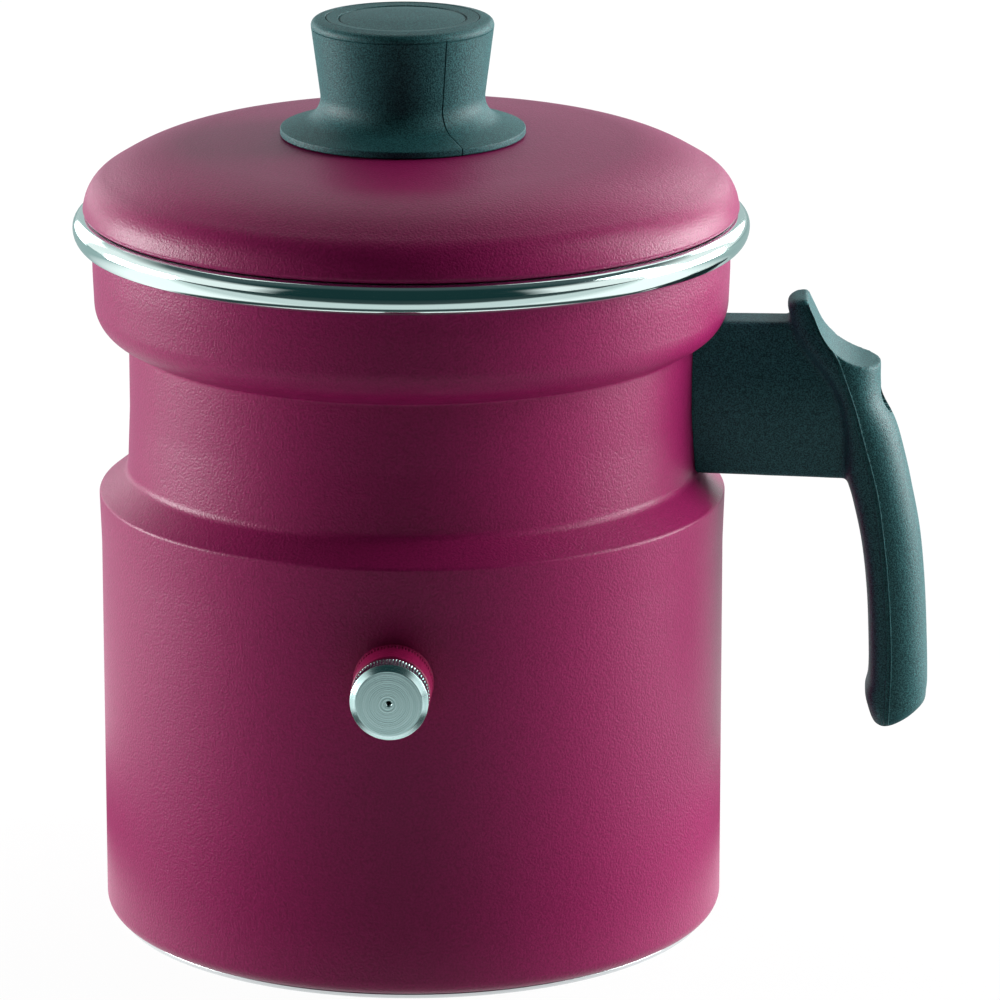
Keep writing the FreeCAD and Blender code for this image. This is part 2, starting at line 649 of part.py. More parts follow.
def make_lid_shell():
    dome = spun_sheet("lid", [
        (0, lid_top, 0),
        (knob_seat_radius, lid_top, 0),
        (lid_shoulder_width, lid_top - S.lid_shoulder_drop, S.lid_shoulder_radius),
        (lid_side_width, lid_edge_height + S.lid_side_rise, S.lid_side_radius),
        (lid_edge_radius, lid_edge_height, S.lid_hem_radius),
        (skirt_radius, lid_edge_height, S.lid_skirt_bend),
        (skirt_radius, lid_edge_height - S.lid_skirt_depth, 0),
    ], S.lid_gauge, inward=False)
    hole = cylinder("lid_hole", S.knob_screw_radius + S.hole_gap, 2 * S.lid_gauge + S.lid_rise,
                    x=S.knob_offset, z=lid_edge_height)
    return cut("lid_shell", dome, hole)


pieces["lid_shell"] = make_lid_shell()


# ---------------------------------------------------------------------------------------------
# Knob: moulded phenolic, cored out from below, with a brass insert and a disc let into its top.
# ---------------------------------------------------------------------------------------------
knob_top_radius = S.knob_waist_radius + S.knob_taper
cap_radius = knob_top_radius - S.cap_inset
foot_inner_radius = knob_foot_radius - S.knob_foot_width
knob_foot_height = lid_top + S.knob_seat_gap
knob_hollow_height = lid_top + S.knob_post_gap
knob_top = knob_foot_height + S.knob_rise
cap_floor = knob_top + S.cap_proud - S.cap_gauge
core_radius = S.knob_waist_radius - S.knob_wall
core_height = knob_foot_height + S.knob_core_depth
insert_top = knob_hollow_height + S.insert_length


def make_knob():
    bore = S.insert_radius + S.insert_gap
    recess = cap_radius + S.cap_gap
    knob = turned_body("knob", [
        (0, insert_top + S.insert_gap, 0),
        (bore, insert_top + S.insert_gap, 0),
        (bore, knob_hollow_height, 0),
        (S.knob_post_radius, knob_hollow_height, 0),
        (S.knob_post_radius, core_height, 0),
        (core_radius, core_height, 0),
        (core_radius, knob_hollow_height, 0),
        (foot_inner_radius, knob_hollow_height, 0),
        (foot_inner_radius, knob_foot_height, 0),
        (knob_foot_radius, knob_foot_height, 0),
        (knob_foot_radius, knob_foot_height + S.knob_foot_gauge, S.knob_foot_edge),
        (S.knob_waist_radius, knob_foot_height + S.knob_foot_gauge, S.knob_flare_radius),
        (knob_top_radius, knob_top, S.knob_top_bend),
        (recess, knob_top, 0),
        (recess, cap_floor - S.cap_floor_gap, 0),
        (0, cap_floor - S.cap_floor_gap, 0),
    ])
    place(knob, x=S.knob_offset)
    return knob


def make_knob_cap():
    cap = turned_body("knob_cap", [
        (0, cap_floor, 0),
        (cap_radius, cap_floor, 0),
        (cap_radius, knob_top + S.cap_proud, S.cap_edge),
        (0, knob_top + S.cap_proud, 0),
    ])
    place(cap, x=S.knob_offset)
    return cap


def make_knob_insert():
    bore = S.knob_screw_radius + S.thread_gap
    insert = turned_body("knob_insert", [
        (bore, knob_hollow_height, 0),
        (S.insert_radius, knob_hollow_height, 0),
        (S.insert_radius, insert_top, 0),
        (0, insert_top, 0),
        (0, insert_top - S.insert_end_gauge, 0),
        (bore, insert_top - S.insert_end_gauge, 0),
    ])
    place(insert, x=S.knob_offset)
    return insert


pieces["knob"] = make_knob()
pieces["knob_cap"] = make_knob_cap()
pieces["knob_insert"] = make_knob_insert()


# ---------------------------------------------------------------------------------------------
# Knob screw and washer: a slotted pan-head screw up through the lid into the knob's insert.
# ---------------------------------------------------------------------------------------------
knob_washer_top = lid_top - S.lid_gauge - S.face_gap
knob_washer_low = knob_washer_top - S.knob_washer_gauge
knob_head_seat = knob_washer_low - S.face_gap


def make_knob_screw():
    head_low = knob_head_seat - S.knob_screw_head_height
    length = knob_hollow_height + S.knob_screw_hold - knob_head_seat
    shank = cylinder("knob_screw_shank", S.knob_screw_radius, length,
                     x=S.knob_offset, z=knob_head_seat)
    head = cylinder("knob_screw_head", S.knob_screw_head_radius, S.knob_screw_head_height,
                    x=S.knob_offset, z=head_low)
    slot = block("knob_screw_slot", 2 * S.knob_screw_head_radius + S.slot_depth, S.slot_width,
                 2 * S.slot_depth,
                 x=S.knob_offset - S.knob_screw_head_radius - S.slot_depth / 2,
                 y=-S.slot_width / 2, z=head_low - S.slot_depth)
    return cut("knob_screw", fuse("knob_screw_blank", shank, head), slot)


def make_knob_washer():
    disc = cylinder("knob_washer_disc", S.knob_washer_radius, S.knob_washer_gauge,
                    x=S.knob_offset, z=knob_washer_low)
    hole = cylinder("knob_washer_hole", S.knob_screw_radius + S.hole_gap, 2 * S.knob_washer_gauge,
                    x=S.knob_offset, z=knob_washer_low - S.knob_washer_gauge / 2)
    return cut("knob_washer", disc, hole)


pieces["knob_screw"] = make_knob_screw()
pieces["knob_washer"] = make_knob_washer()


# ---------------------------------------------------------------------------------------------
# Filler: a bush swaged into the wall, its screwed plug with a steam vent, and the plug's seal.
# Each is made along its own Z, which points out of the front of the pot, from the pot's axis.
# ---------------------------------------------------------------------------------------------
boss_face = S.wall_radius + S.boss_length
head_back = boss_face + S.seal_gauge + 2 * S.seal_gap
head_face = head_back + S.plug_head_length
thread_end = head_back - S.plug_thread_length


def make_filler_boss():
    root = S.wall_radius - S.boss_radius / 2
    collar = turned_body("boss_collar", [
        (0, root, 0),
        (S.boss_radius, root, 0),
        (S.boss_radius, boss_face - S.boss_edge, 0),
        (S.boss_radius - S.boss_edge, boss_face, 0),
        (0, boss_face, 0),
    ])
    place(collar, OUT_OF_FRONT, z=plug_height)
    wall = cylinder("boss_wall", S.wall_radius + S.boss_seat_gap, 2 * plug_height)
    saddle = cut("boss_saddle", collar, wall)
    wall_inside = ((S.wall_radius - S.jacket_gauge) * (S.wall_radius - S.jacket_gauge)
                   - (S.spigot_radius + S.spigot_lip) * (S.spigot_radius + S.spigot_lip)).root()
    lip_low = wall_inside - S.spigot_lip_gauge - S.boss_seat_gap
    spigot = cylinder("boss_spigot", S.spigot_radius, S.wall_radius + S.boss_edge - lip_low,
                      OUT_OF_FRONT, y=-lip_low, z=plug_height)
    lip = cylinder("boss_lip", S.spigot_radius + S.spigot_lip, S.spigot_lip_gauge,
                   OUT_OF_FRONT, y=-lip_low, z=plug_height)
    bore = cylinder("boss_bore", S.plug_thread_radius + S.thread_gap, S.wall_radius,
                    OUT_OF_FRONT, y=-S.wall_radius / 2, z=plug_height)
    return cut("filler_boss", fuse("boss_blank", saddle, spigot, lip), bore)


def make_filler_plug():
    plug = turned_body("filler_plug", [
        (S.vent_radius, thread_end, 0),
        (S.plug_thread_radius - S.plug_back_edge, thread_end, 0),
        (S.plug_thread_radius, thread_end + S.plug_back_edge, 0),
        (S.plug_thread_radius, head_back, 0),
        (S.plug_radius - S.plug_back_edge, head_back, 0),
        (S.plug_radius, head_back + S.plug_back_edge, 0),
        (S.plug_radius, head_face - S.plug_bevel, 0),
        (S.plug_radius - S.plug_bevel, head_face, 0),
        (S.vent_radius + S.vent_sink, head_face, 0),
        (S.vent_radius, head_face - S.vent_sink, 0),
    ])
    place(plug, OUT_OF_FRONT, z=plug_height)
    return plug


def make_plug_seal():
    bore = S.plug_thread_radius + S.seal_gap
    seal = turned_body("plug_seal", [
        (bore, boss_face + S.seal_gap, 0),
        (S.seal_radius, boss_face + S.seal_gap, 0),
        (S.seal_radius, boss_face + S.seal_gap + S.seal_gauge, 0),
        (bore, boss_face + S.seal_gap + S.seal_gauge, 0),
    ])
    place(seal, OUT_OF_FRONT, z=plug_height)
    return seal


pieces["filler_boss"] = make_filler_boss()
pieces["filler_plug"] = make_filler_plug()
pieces["plug_seal"] = make_plug_seal()


# ---------------------------------------------------------------------------------------------
# Handle: one phenolic moulding, drawn on by a long screw to a lug that is welded to the neck.
# Lug, arm and cutters start well inside the neck, whose cylinder then trims them.
# ---------------------------------------------------------------------------------------------
inside_neck = neck_radius / 2
lug_seat = neck_radius + S.lug_seat_gap
lug_end = neck_radius + S.lug_reach
arm_top_height = neck_root_height + S.arm_top_rise
arm_bottom_height = arm_top_height - S.arm_depth
handle_screw_height = arm_top_height - S.handle_screw_drop
lug_plate_low = arm_bottom_height + S.lug_plate_inset
lug_plate_height = S.arm_depth - 2 * S.lug_plate_inset
back_width = neck_radius + S.back_reach
back_low_height = arm_top_height - S.back_low_drop
back_high_width = neck_radius + S.back_high_reach
back_high_height = arm_top_height - S.back_high_drop
thumb_corner_width = neck_radius + S.thumb_corner_reach
thumb_corner_height = arm_top_height - S.thumb_corner_drop
thumb_tip_width = thumb_corner_width - S.thumb_tip_reach
thumb_tip_height = thumb_corner_height + S.thumb_tip_rise
lip_width = thumb_corner_width + S.lip_reach
lip_height = thumb_corner_height - S.lip_drop
recess_floor = neck_radius + S.handle_recess_reach


def neck_room(label, gap):
    """All that the shoulder, neck and collar fill, and a gap beyond them."""
    return turned_body(label, [
        (0, S.wall_straight_height, 0),
        (shoulder_radius + gap, S.wall_straight_height, 0),
        (shoulder_radius + gap, shoulder_height + gap, 0),
        (neck_root_radius + gap, neck_root_height + gap, S.neck_root_bend - gap),
        (neck_radius + gap, neck_straight_height, 0),
        (neck_radius + gap, collar_root_height - gap, S.collar_root_bend - gap),
        (collar_low_radius + gap, collar_low_height - gap, S.collar_bend + gap),
        (collar_radius + gap, collar_straight_height, 0),
        (0, collar_straight_height, 0),
    ])


def make_handle_lug():
    boss = cylinder("lug_boss", S.lug_radius, lug_end - inside_neck, OUT_OF_SIDE,
                    x=inside_neck, z=handle_screw_height)
    plate = block("lug_plate", lug_seat + S.lug_plate_gauge - inside_neck,
                  S.lug_plate_width, lug_plate_height, x=inside_neck,
                  y=-S.lug_plate_width / 2, z=lug_plate_low)
    blank = cut("lug_blank", fuse("lug_block", boss, plate),
                neck_room("lug_neck_room", S.lug_seat_gap))
    bore = cylinder("lug_bore", S.handle_screw_radius + S.thread_gap, lug_end, OUT_OF_SIDE,
                    x=lug_seat + S.lug_plate_gauge / 2, z=handle_screw_height)
    return cut("handle_lug", blank, bore)


def prism(label, corners, rotation, length, **offsets):
    """An outline pushed straight out to a solid."""
    outline = document.addObject("Sketcher::SketchObject", label + "_outline")
    outline.Placement = Placement(Vector(), rotation)
    draw_outline(outline, corners, closed=True)
    solid = document.addObject("Part::Extrusion", label)
    solid.Base = outline
    solid.DirMode = "Normal"
    solid.Solid = True
    solid.Symmetric = rotation == UPRIGHT
    bind(solid, LengthFwd=length)
    place(solid, **offsets)
    return solid


def common(label, first, second):
    """What two shapes share."""
    result = document.addObject("Part::MultiCommon", label)
    result.Shapes = [first, second]
    return result


def loft(label, sections):
    """A solid through closed sections."""
    solid = document.addObject("Part::Loft", label)
    solid.Sections = sections
    solid.Solid = True
    solid.Ruled = False
    return solid


def make_arm():
    """The arm: barrel-sided, ending inside the thumb rest and the grip."""
    sections = []
    half = S.arm_edge_width / 2
    belly = half + S.arm_belly
    top = arm_top_height
    for number, across, low in ((1, inside_neck, arm_bottom_height),
                                (2, lip_width, arm_bottom_height - S.arm_slope)):
        section = document.addObject("Sketcher::SketchObject", "arm_section_%d" % number)
        place(section, ACROSS_SIDE, x=across)
        draw_outline(section, [
            (-half, low, S.arm_edge_bend),
            (half, low, S.arm_edge_bend),
            (belly, (low + top) / 2, S.arm_belly_bend),
            (half, top, S.arm_edge_bend),
            (-half, top, S.arm_edge_bend),
            (-belly, (low + top) / 2, S.arm_belly_bend),
        ], closed=True)
        sections.append(section)
    bar = loft("arm_bar", sections)
    end = back_width + S.arm_end_inset
    limit = prism("arm_limit", [
        (0, 0, 0),
        (end, 0, 0),
        (end, back_low_height, 0),
        (back_high_width + S.arm_end_inset, arm_top_height + S.arm_end_inset, 0),
        (0, arm_top_height + S.arm_end_inset, 0),
    ], UPRIGHT, 2 * S.arm_edge_width + 4 * S.arm_belly)
    return common("arm", bar, limit)


def make_thumb_rest():
    """The thumb rest: its side outline and its plan, both at once."""
    side = prism("thumb_side", [
        (thumb_tip_width, thumb_tip_height, S.thumb_tip_bend),
        (thumb_tip_width + S.thumb_tip_gauge, thumb_tip_height, S.thumb_tip_bend),
        (thumb_corner_width, thumb_corner_height, S.thumb_hollow_radius),
        (lip_width, lip_height, S.lip_bend),
        (lip_width, lip_height - S.lip_depth, 0),
        (back_width + S.arm_end_inset, back_low_height - S.back_foot_drop, 0),
        (back_width, back_low_height - S.back_foot_drop, 0),
        (back_width, back_low_height, S.back_low_bend),
        (back_high_width, back_high_height, S.back_high_bend),
    ], UPRIGHT, 2 * S.thumb_width)
    half = S.thumb_width / 2
    tip = S.thumb_tip_span / 2
    lip = S.thumb_lip_span / 2
    plan = prism("thumb_plan", [
        (thumb_tip_width, -tip, 0),
        (thumb_corner_width, -half, S.thumb_plan_bend),
        (lip_width, -lip, S.thumb_plan_bend),
        (lip_width, lip, S.thumb_plan_bend),
        (thumb_corner_width, half, S.thumb_plan_bend),
        (thumb_tip_width, tip, 0),
    ], Rotation(), 2 * thumb_tip_height)
    return common("thumb_rest", side, plan)


def make_grip():
    """The grip: elliptical sections from the thumb rest down to its toe."""
    sections = []
    across = neck_radius
    height = arm_top_height
    for number in range(1, int(S.grip_count.value) + 1):
        out, down, half_gauge, half_width, tilt = [
            getattr(S, "grip_%s_%d" % (name, number))
            for name in ("out", "down", "half_gauge", "half_width", "tilt")]
        across = across + out
        height = height - down
        ellipse = document.addObject("Part::Ellipse", "grip_section_%d" % number)
        bind(ellipse, MajorRadius=half_width, MinorRadius=half_gauge)
        turn = Rotation(Vector(0, 1, 0), -tilt.value) * Rotation(Vector(0, 0, 1), 90)
        place(ellipse, turn, x=across, z=height)
        sections.append(ellipse)
    return loft("grip", sections)


def make_handle():
    blank = fuse("handle_blank", make_arm(), make_thumb_rest(), make_grip())
    neck = neck_room("arm_neck_room", S.arm_gap)
    pocket = cylinder("handle_lug_pocket", S.lug_radius + S.lug_gap,
                      lug_end + S.lug_gap - inside_neck, OUT_OF_SIDE,
                      x=inside_neck, z=handle_screw_height)
    slot = block("handle_plate_pocket",
                 lug_seat + S.lug_plate_gauge + S.lug_gap - inside_neck,
                 S.lug_plate_width + 2 * S.lug_gap, lug_plate_height + 2 * S.lug_gap,
                 x=inside_neck, y=-S.lug_plate_width / 2 - S.lug_gap,
                 z=lug_plate_low - S.lug_gap)
    bore = cylinder("handle_bore", S.handle_screw_radius + S.hole_gap, recess_floor,
                    OUT_OF_SIDE, x=inside_neck, z=handle_screw_height)
    recess = cylinder("handle_recess", S.handle_washer_radius + S.handle_recess_gap, inside_neck,
                      OUT_OF_SIDE, x=recess_floor, z=handle_screw_height)
    return cut("handle", blank, fuse("handle_hollows", neck, pocket, slot, bore, recess))


washer_seat = recess_floor + S.face_gap
screw_seat = washer_seat + S.handle_washer_gauge + S.face_gap


def make_handle_washer():
    disc = cylinder("handle_washer_disc", S.handle_washer_radius, S.handle_washer_gauge,
                    OUT_OF_SIDE, x=washer_seat, z=handle_screw_height)
    hole = cylinder("handle_washer_hole", S.handle_screw_radius + S.hole_gap / 2,
                    2 * S.handle_washer_gauge, OUT_OF_SIDE,
                    x=washer_seat - S.handle_washer_gauge / 2, z=handle_screw_height)
    return cut("handle_washer", disc, hole)


def make_handle_screw():
    end = lug_end - S.handle_screw_hold
    shank = cylinder("handle_screw_shank", S.handle_screw_radius, screw_seat - end,
                     OUT_OF_SIDE, x=end, z=handle_screw_height)
    head = cylinder("handle_screw_head", S.handle_screw_head_radius, S.handle_screw_head_height,
                    OUT_OF_SIDE, x=screw_seat, z=handle_screw_height)
    slot = block("handle_screw_slot", 2 * S.slot_depth, S.slot_width,
                 2 * S.handle_screw_head_radius + S.slot_depth,
                 x=screw_seat + S.handle_screw_head_height - S.slot_depth,
                 y=-S.slot_width / 2,
                 z=handle_screw_height - S.handle_screw_head_radius - S.slot_depth / 2)
    blank = fuse("handle_screw_blank", shank, head)
    return cut("handle_screw", blank, slot)


pieces["handle_lug"] = make_handle_lug()
pieces["handle"] = make_handle()
pieces["handle_washer"] = make_handle_washer()
pieces["handle_screw"] = make_handle_screw()


# ---------------------------------------------------------------------------------------------
# Check every object, then write one file for each piece.
# ---------------------------------------------------------------------------------------------
document.recompute()
for thing in document.Objects:
    troubled = [state for state in thing.State if state in ("Invalid", "Error")]
    if troubled:
        raise RuntimeError("%s is %s" % (thing.Name, troubled))
os.makedirs("parts", exist_ok=True)
for name, piece in pieces.items():
    shape = piece.Shape
    if shape.isNull() or not shape.isValid() or not shape.Solids:
        raise RuntimeError("%s has no valid solid" % name)
    piece.Label = name
    shape.exportStep("parts/%s.step" % name)
    print("%-14s %2d solid(s) %10.1f mm3" % (name, len(shape.Solids), shape.Volume))
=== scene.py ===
"""Looks of the water-jacketed milk boiler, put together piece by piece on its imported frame."""
import math

import bmesh
import bpy
from mathutils import Matrix, Vector


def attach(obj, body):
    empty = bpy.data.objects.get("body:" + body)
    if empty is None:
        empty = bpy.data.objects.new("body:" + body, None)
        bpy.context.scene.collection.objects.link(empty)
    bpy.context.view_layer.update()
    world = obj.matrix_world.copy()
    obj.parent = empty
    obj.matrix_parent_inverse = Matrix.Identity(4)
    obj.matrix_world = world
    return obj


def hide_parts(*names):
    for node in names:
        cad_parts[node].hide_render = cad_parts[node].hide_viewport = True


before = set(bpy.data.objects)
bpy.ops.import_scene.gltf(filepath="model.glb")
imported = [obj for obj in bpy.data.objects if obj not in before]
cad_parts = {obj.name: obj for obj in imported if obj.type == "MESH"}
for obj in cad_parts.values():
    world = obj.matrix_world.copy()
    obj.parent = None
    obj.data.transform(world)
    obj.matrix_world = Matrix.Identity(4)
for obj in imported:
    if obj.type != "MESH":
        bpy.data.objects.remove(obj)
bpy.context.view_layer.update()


# Base plate: a steel disc, 1 mm thick, bonded under the jacket so that the pot sits flat on a
# hob. Its underside is faced on a lathe, which leaves four shallow rings and fine turning marks.
def rounded(corners, closed=False):
    """Points along corners given as (across, up, bend) in mm, each bend a true arc.

    Each arc has 4 steps or more, none over 6 degrees or 1.5 mm. Where a run has the room, a
    point just before and just after each arc keeps its shading flat.
    """
    flat, room = 0.3, 0.8
    points = []
    count = len(corners)
    for number, (across, up, bend) in enumerate(corners):
        corner = Vector((across, up))
        if not bend or not (closed or 0 < number < count - 1):
            points.append(corner)
            continue
        before = Vector(corners[number - 1][:2]) - corner
        after = Vector(corners[(number + 1) % count][:2]) - corner
        half = before.angle(after) / 2
        reach = bend / math.tan(half)
        inward = (before.normalized() + after.normalized()).normalized()
        centre = corner + inward * bend / math.sin(half)
        start = corner + before.normalized() * reach - centre
        turn = start.angle_signed(corner + after.normalized() * reach - centre)
        steps = max(4, math.ceil(abs(math.degrees(turn)) / 6), math.ceil(abs(turn) * bend / 1.5))
        if before.length > reach + room:
            points.append(centre + start + before.normalized() * flat)
        for step in range(steps + 1):
            angle = -turn * step / steps
            points.append(centre + Matrix.Rotation(angle, 2) @ start)
        if after.length > reach + room:
            points.append(points[-1] + after.normalized() * flat)
    return [tuple(point) for point in points]


UP = Matrix.Identity(4)
CREASE = math.radians(40)


def turned(name, line, closed=False, axis=UP, angles=160, reshape=None):
    """A piece turned about an axis from a line of (radius, height) in mm; radius 0 closes it."""
    if isinstance(angles, int):
        angles = [2 * math.pi * number / angles for number in range(angles)]
    mesh = bmesh.new()
    rings = []
    for radius, height in line:
        if radius < 1e-6:
            rings.append([mesh.verts.new(axis @ Vector((0, 0, height)) / 1000)])
            continue
        ring = []
        for angle in angles:
            away, up = reshape(radius, height, angle) if reshape else (radius, height)
            place = axis @ Vector((away * math.cos(angle), away * math.sin(angle), up))
            ring.append(mesh.verts.new(place / 1000))
        rings.append(ring)
    pairs = list(zip(rings, rings[1:]))
    if closed:
        pairs.append((rings[-1], rings[0]))
    for low, high in pairs:
        for here in range(len(angles)):
            after = (here + 1) % len(angles)
            corners = [low[here % len(low)], low[after % len(low)],
                       high[after % len(high)], high[here % len(high)]]
            unlike = list(dict.fromkeys(corners))
            if len(unlike) > 2:
                mesh.faces.new(unlike)
    return solid(name, mesh)


def solid(name, mesh):
    """A new object from a closed bmesh: faces outward, smooth but for its creases."""
    bmesh.ops.recalc_face_normals(mesh, faces=mesh.faces)
    data = bpy.data.meshes.new(name)
    mesh.to_mesh(data)
    mesh.free()
    data.shade_smooth()
    data.set_sharp_from_angle(angle=CREASE)
    piece = bpy.data.objects.new(name, data)
    bpy.context.scene.collection.objects.link(piece)
    return piece


def linear(code):
    """An sRGB hex colour as the linear colour that shaders take."""
    parts = [int(code[place:place + 2], 16) / 255 for place in (1, 3, 5)]
    return (*[part / 12.92 if part <= 0.04045 else ((part + 0.055) / 1.055) ** 2.4
              for part in parts], 1.0)


def add_node(tree, kind, inputs=None, **settings):
    """A shader node with its settings; an input is a value or the socket that feeds it."""
    node = tree.nodes.new("ShaderNode" + kind)
    for name, value in settings.items():
        setattr(node, name, value)
    for name, source in (inputs or {}).items():
        if isinstance(source, bpy.types.NodeSocket):
            tree.links.new(source, node.inputs[name])
        else:
            node.inputs[name].default_value = source
    return node


def new_material(name):
    """An empty material, its node tree and the coordinates of the piece in metres."""
    material = bpy.data.materials.new(name)
    material.use_nodes = True
    tree = material.node_tree
    tree.nodes.clear()
    return material, tree, add_node(tree, "TexCoord").outputs["Object"]


def fit(piece, material, body, slot, *nodes, least=0.001):
    """Finish a piece, seat it on its body and let it stand for its nodes of the frame.

    Faces without area and edges shorter than least mm, as cuts and joins leave them, go first.
    """
    mesh = bmesh.new()
    mesh.from_mesh(piece.data)
    bmesh.ops.triangulate(mesh, faces=[face for face in mesh.faces if len(face.verts) > 4])
    bmesh.ops.dissolve_degenerate(mesh, dist=least / 1000, edges=mesh.edges)
    mesh.to_mesh(piece.data)
    mesh.free()
    piece.data.materials.append(material)
    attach(piece, body)
    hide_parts(*nodes)


def lathe_marks(tree, place, pitch, height, along="Z"):
    """A bump of fine rings about an axis, one each pitch mm, on faces and walls alike."""
    split = add_node(tree, "SeparateXYZ", {"Vector": place})
    across = [axis for axis in "XYZ" if axis != along]
    flat = add_node(tree, "CombineXYZ", {"X": split.outputs[across[0]],
                                         "Y": split.outputs[across[1]]})
    radius = add_node(tree, "VectorMath", {0: flat.outputs[0]}, operation="LENGTH")
    path = add_node(tree, "Math", {0: radius.outputs["Value"], 1: split.outputs[along]})
    uneven = add_node(tree, "TexNoise", {"W": path.outputs[0], "Scale": 1000 / pitch,
                                         "Detail": 2.0}, noise_dimensions="1D")
    bump = add_node(tree, "Bump", {"Height": uneven.outputs[0], "Distance": height / 1000,
                                   "Strength": 1.0})
    return uneven.outputs[0], bump.outputs["Normal"]


# Mild steel, faced on a lathe: a dull grey shine, broken into fine rings. The marks are drawn
# 0.4 mm apart, twice as coarse as a real cut.
facing_steel, tree, place = new_material("mild_steel_faced")
rings, rings_normal = lathe_marks(tree, place, 0.4, 0.012)
shade = add_node(tree, "Mix", {"Factor": rings, "A": linear("#A9ADAF"), "B": linear("#C9CCCD")},
                 data_type="RGBA")
shader = add_node(tree, "BsdfPrincipled", {
    "Base Color": shade.outputs["Result"], "Metallic": 1.0, "Roughness": 0.34,
    "Normal": rings_normal})
add_node(tree, "OutputMaterial", {"Surface": shader.outputs[0]})

plate_line = [(0, 0)]
for ring in (12.0, 24.0, 36.0, 48.0):
    plate_line += [(ring - 0.1, 0), (ring, 0.1), (ring, 0.3), (ring + 1.0, 0.3), (ring + 1.0, 0.1),
                   (ring + 1.1, 0)]
plate_line += rounded([(60, 0, 0), (67.3, 0, 0.2), (67.3, 1.0, 0.2), (0, 1.0, 0)])
fit(turned("base_disc", plate_line), facing_steel, "pot", "bare_steel", "base_plate")


# Outer jacket: one aluminium blank, drawn and then spun to its shoulder, neck and collar, and
# turned out at the rim into a flange. The filler bush passes through a round hole in its wall.
def run_offset(first, second, gauge):
    """A run between two corners moved gauge mm to its left."""
    way = (Vector(second[:2]) - Vector(first[:2])).normalized()
    side = Vector((-way.y, way.x)) * gauge
    return Vector(first[:2]) + side, way


def sheet_line(corners, gauge):
    """Both faces of a sheet: its outer corners, and the same moved gauge mm to their left."""
    runs = [run_offset(first, second, gauge) for first, second in zip(corners, corners[1:])]
    inner = [(*runs[0][0], 0)]
    for (start, way), (other, turn), corner in zip(runs, runs[1:], corners[1:]):
        cross = way.x * turn.y - way.y * turn.x
        reach = ((other - start).x * turn.y - (other - start).y * turn.x) / cross
        meeting = start + way * reach
        bend = corner[2] - gauge if cross * gauge > 0 else corner[2] + gauge
        inner.append((*meeting, max(bend, 0.05) if corner[2] else 0))
    start, end = (Vector(corner[:2]) for corner in corners[-2:])
    inner.append((*(runs[-1][0] + end - start), 0))
    inside = rounded(inner)
    if corners[0][0] == 0:
        inside[0] = (0, inside[0][1])
    return rounded(corners) + inside[::-1]


def with_rings(line, least, *heights):
    """The line with a point more wherever a run beyond the least radius crosses a height."""
    result = [line[0]]
    for first, second in zip(line, line[1:]):
        if min(first[0], second[0]) > least:
            low, high = sorted((first[1], second[1]))
            met = [height for height in heights if low + 0.01 < height < high - 0.01]
            for height in sorted(met, reverse=first[1] > second[1]):
                share = (height - first[1]) / (second[1] - first[1])
                result.append((first[0] + (second[0] - first[0]) * share, height))
        result.append(second)
    return result


def pierce(piece, *cutters):
    """Cut closed pieces out of another, and drop them."""
    for cutter in cutters:
        hole = piece.modifiers.new(cutter.name, "BOOLEAN")
        hole.operation = "DIFFERENCE"
        hole.solver = "EXACT"
        hole.object = cutter
    settle(piece)
    for cutter in cutters:
        bpy.data.objects.remove(cutter)


def settle(piece):
    """Turn a piece's modifiers into its mesh, its edges sharp from the crease angle up."""
    graph = bpy.context.evaluated_depsgraph_get()
    made = bpy.data.meshes.new_from_object(piece.evaluated_get(graph))
    made.name = piece.name
    piece.modifiers.clear()
    piece.data = made
    made.shade_smooth()
    made.set_sharp_from_angle(angle=CREASE)


def rod(name, radius, start, end, axis):
    """A plain round bar, for cutting a hole."""
    return turned(name, [(0, start), (radius, start), (radius, end), (0, end)], axis=axis,
                  angles=96)


# Silicone-polyester lacquer, sprayed and stoved on aluminium: a deep wine red with a satin,
# finely pebbled skin. The pebble is drawn 0.5 mm across, half as coarse again as the real one,
# over a long orange peel of 2.5 mm.
lacquer, tree, place = new_material("silicone_polyester_lacquer_satin")
pebble = add_node(tree, "TexNoise", {"Vector": place, "Scale": 1000 / 0.5, "Detail": 2.0})
peel = add_node(tree, "TexNoise", {"Vector": place, "Scale": 1000 / 2.5, "Detail": 1.0})
peel_bump = add_node(tree, "Bump", {"Height": peel.outputs[0], "Distance": 0.00004,
                                    "Strength": 0.6})
pebble_bump = add_node(tree, "Bump", {"Height": pebble.outputs[0], "Distance": 0.0001,
                                      "Strength": 1.0, "Normal": peel_bump.outputs[0]})
speck = add_node(tree, "MapRange", {"Value": pebble.outputs[0], "From Min": 0.3, "From Max": 0.7})
shade = add_node(tree, "Mix", {
    "Factor": speck.outputs[0], "A": linear("#80124C"), "B": linear("#971A5C")}, data_type="RGBA")
lacquer_shade = shade.name
shader = add_node(tree, "BsdfPrincipled", {
    "Base Color": shade.outputs["Result"], "Roughness": 0.38, "Specular IOR Level": 0.22,
    "Normal": pebble_bump.outputs[0]})
add_node(tree, "OutputMaterial", {"Surface": shader.outputs[0]})

jacket_line = sheet_line([
    (0, 1.0, 0), (70.0, 1.0, 3.5), (70.0, 87.0, 60.0), (70.4, 98.7, 1.0), (63.9, 103.8, 2.5),
    (63.3, 118.0, 60.0), (63.3, 133.7, 1.0), (70.7, 137.4, 8.0), (71.2, 150.0, 60.0),
    (71.2, 157.3, 0.2), (73.6, 157.3, 0)], 1.5)
FRONT = Matrix.Rotation(math.radians(90), 4, "X")
PLUG_PLACE = Matrix.Translation((0, 0, 73.2)) @ FRONT
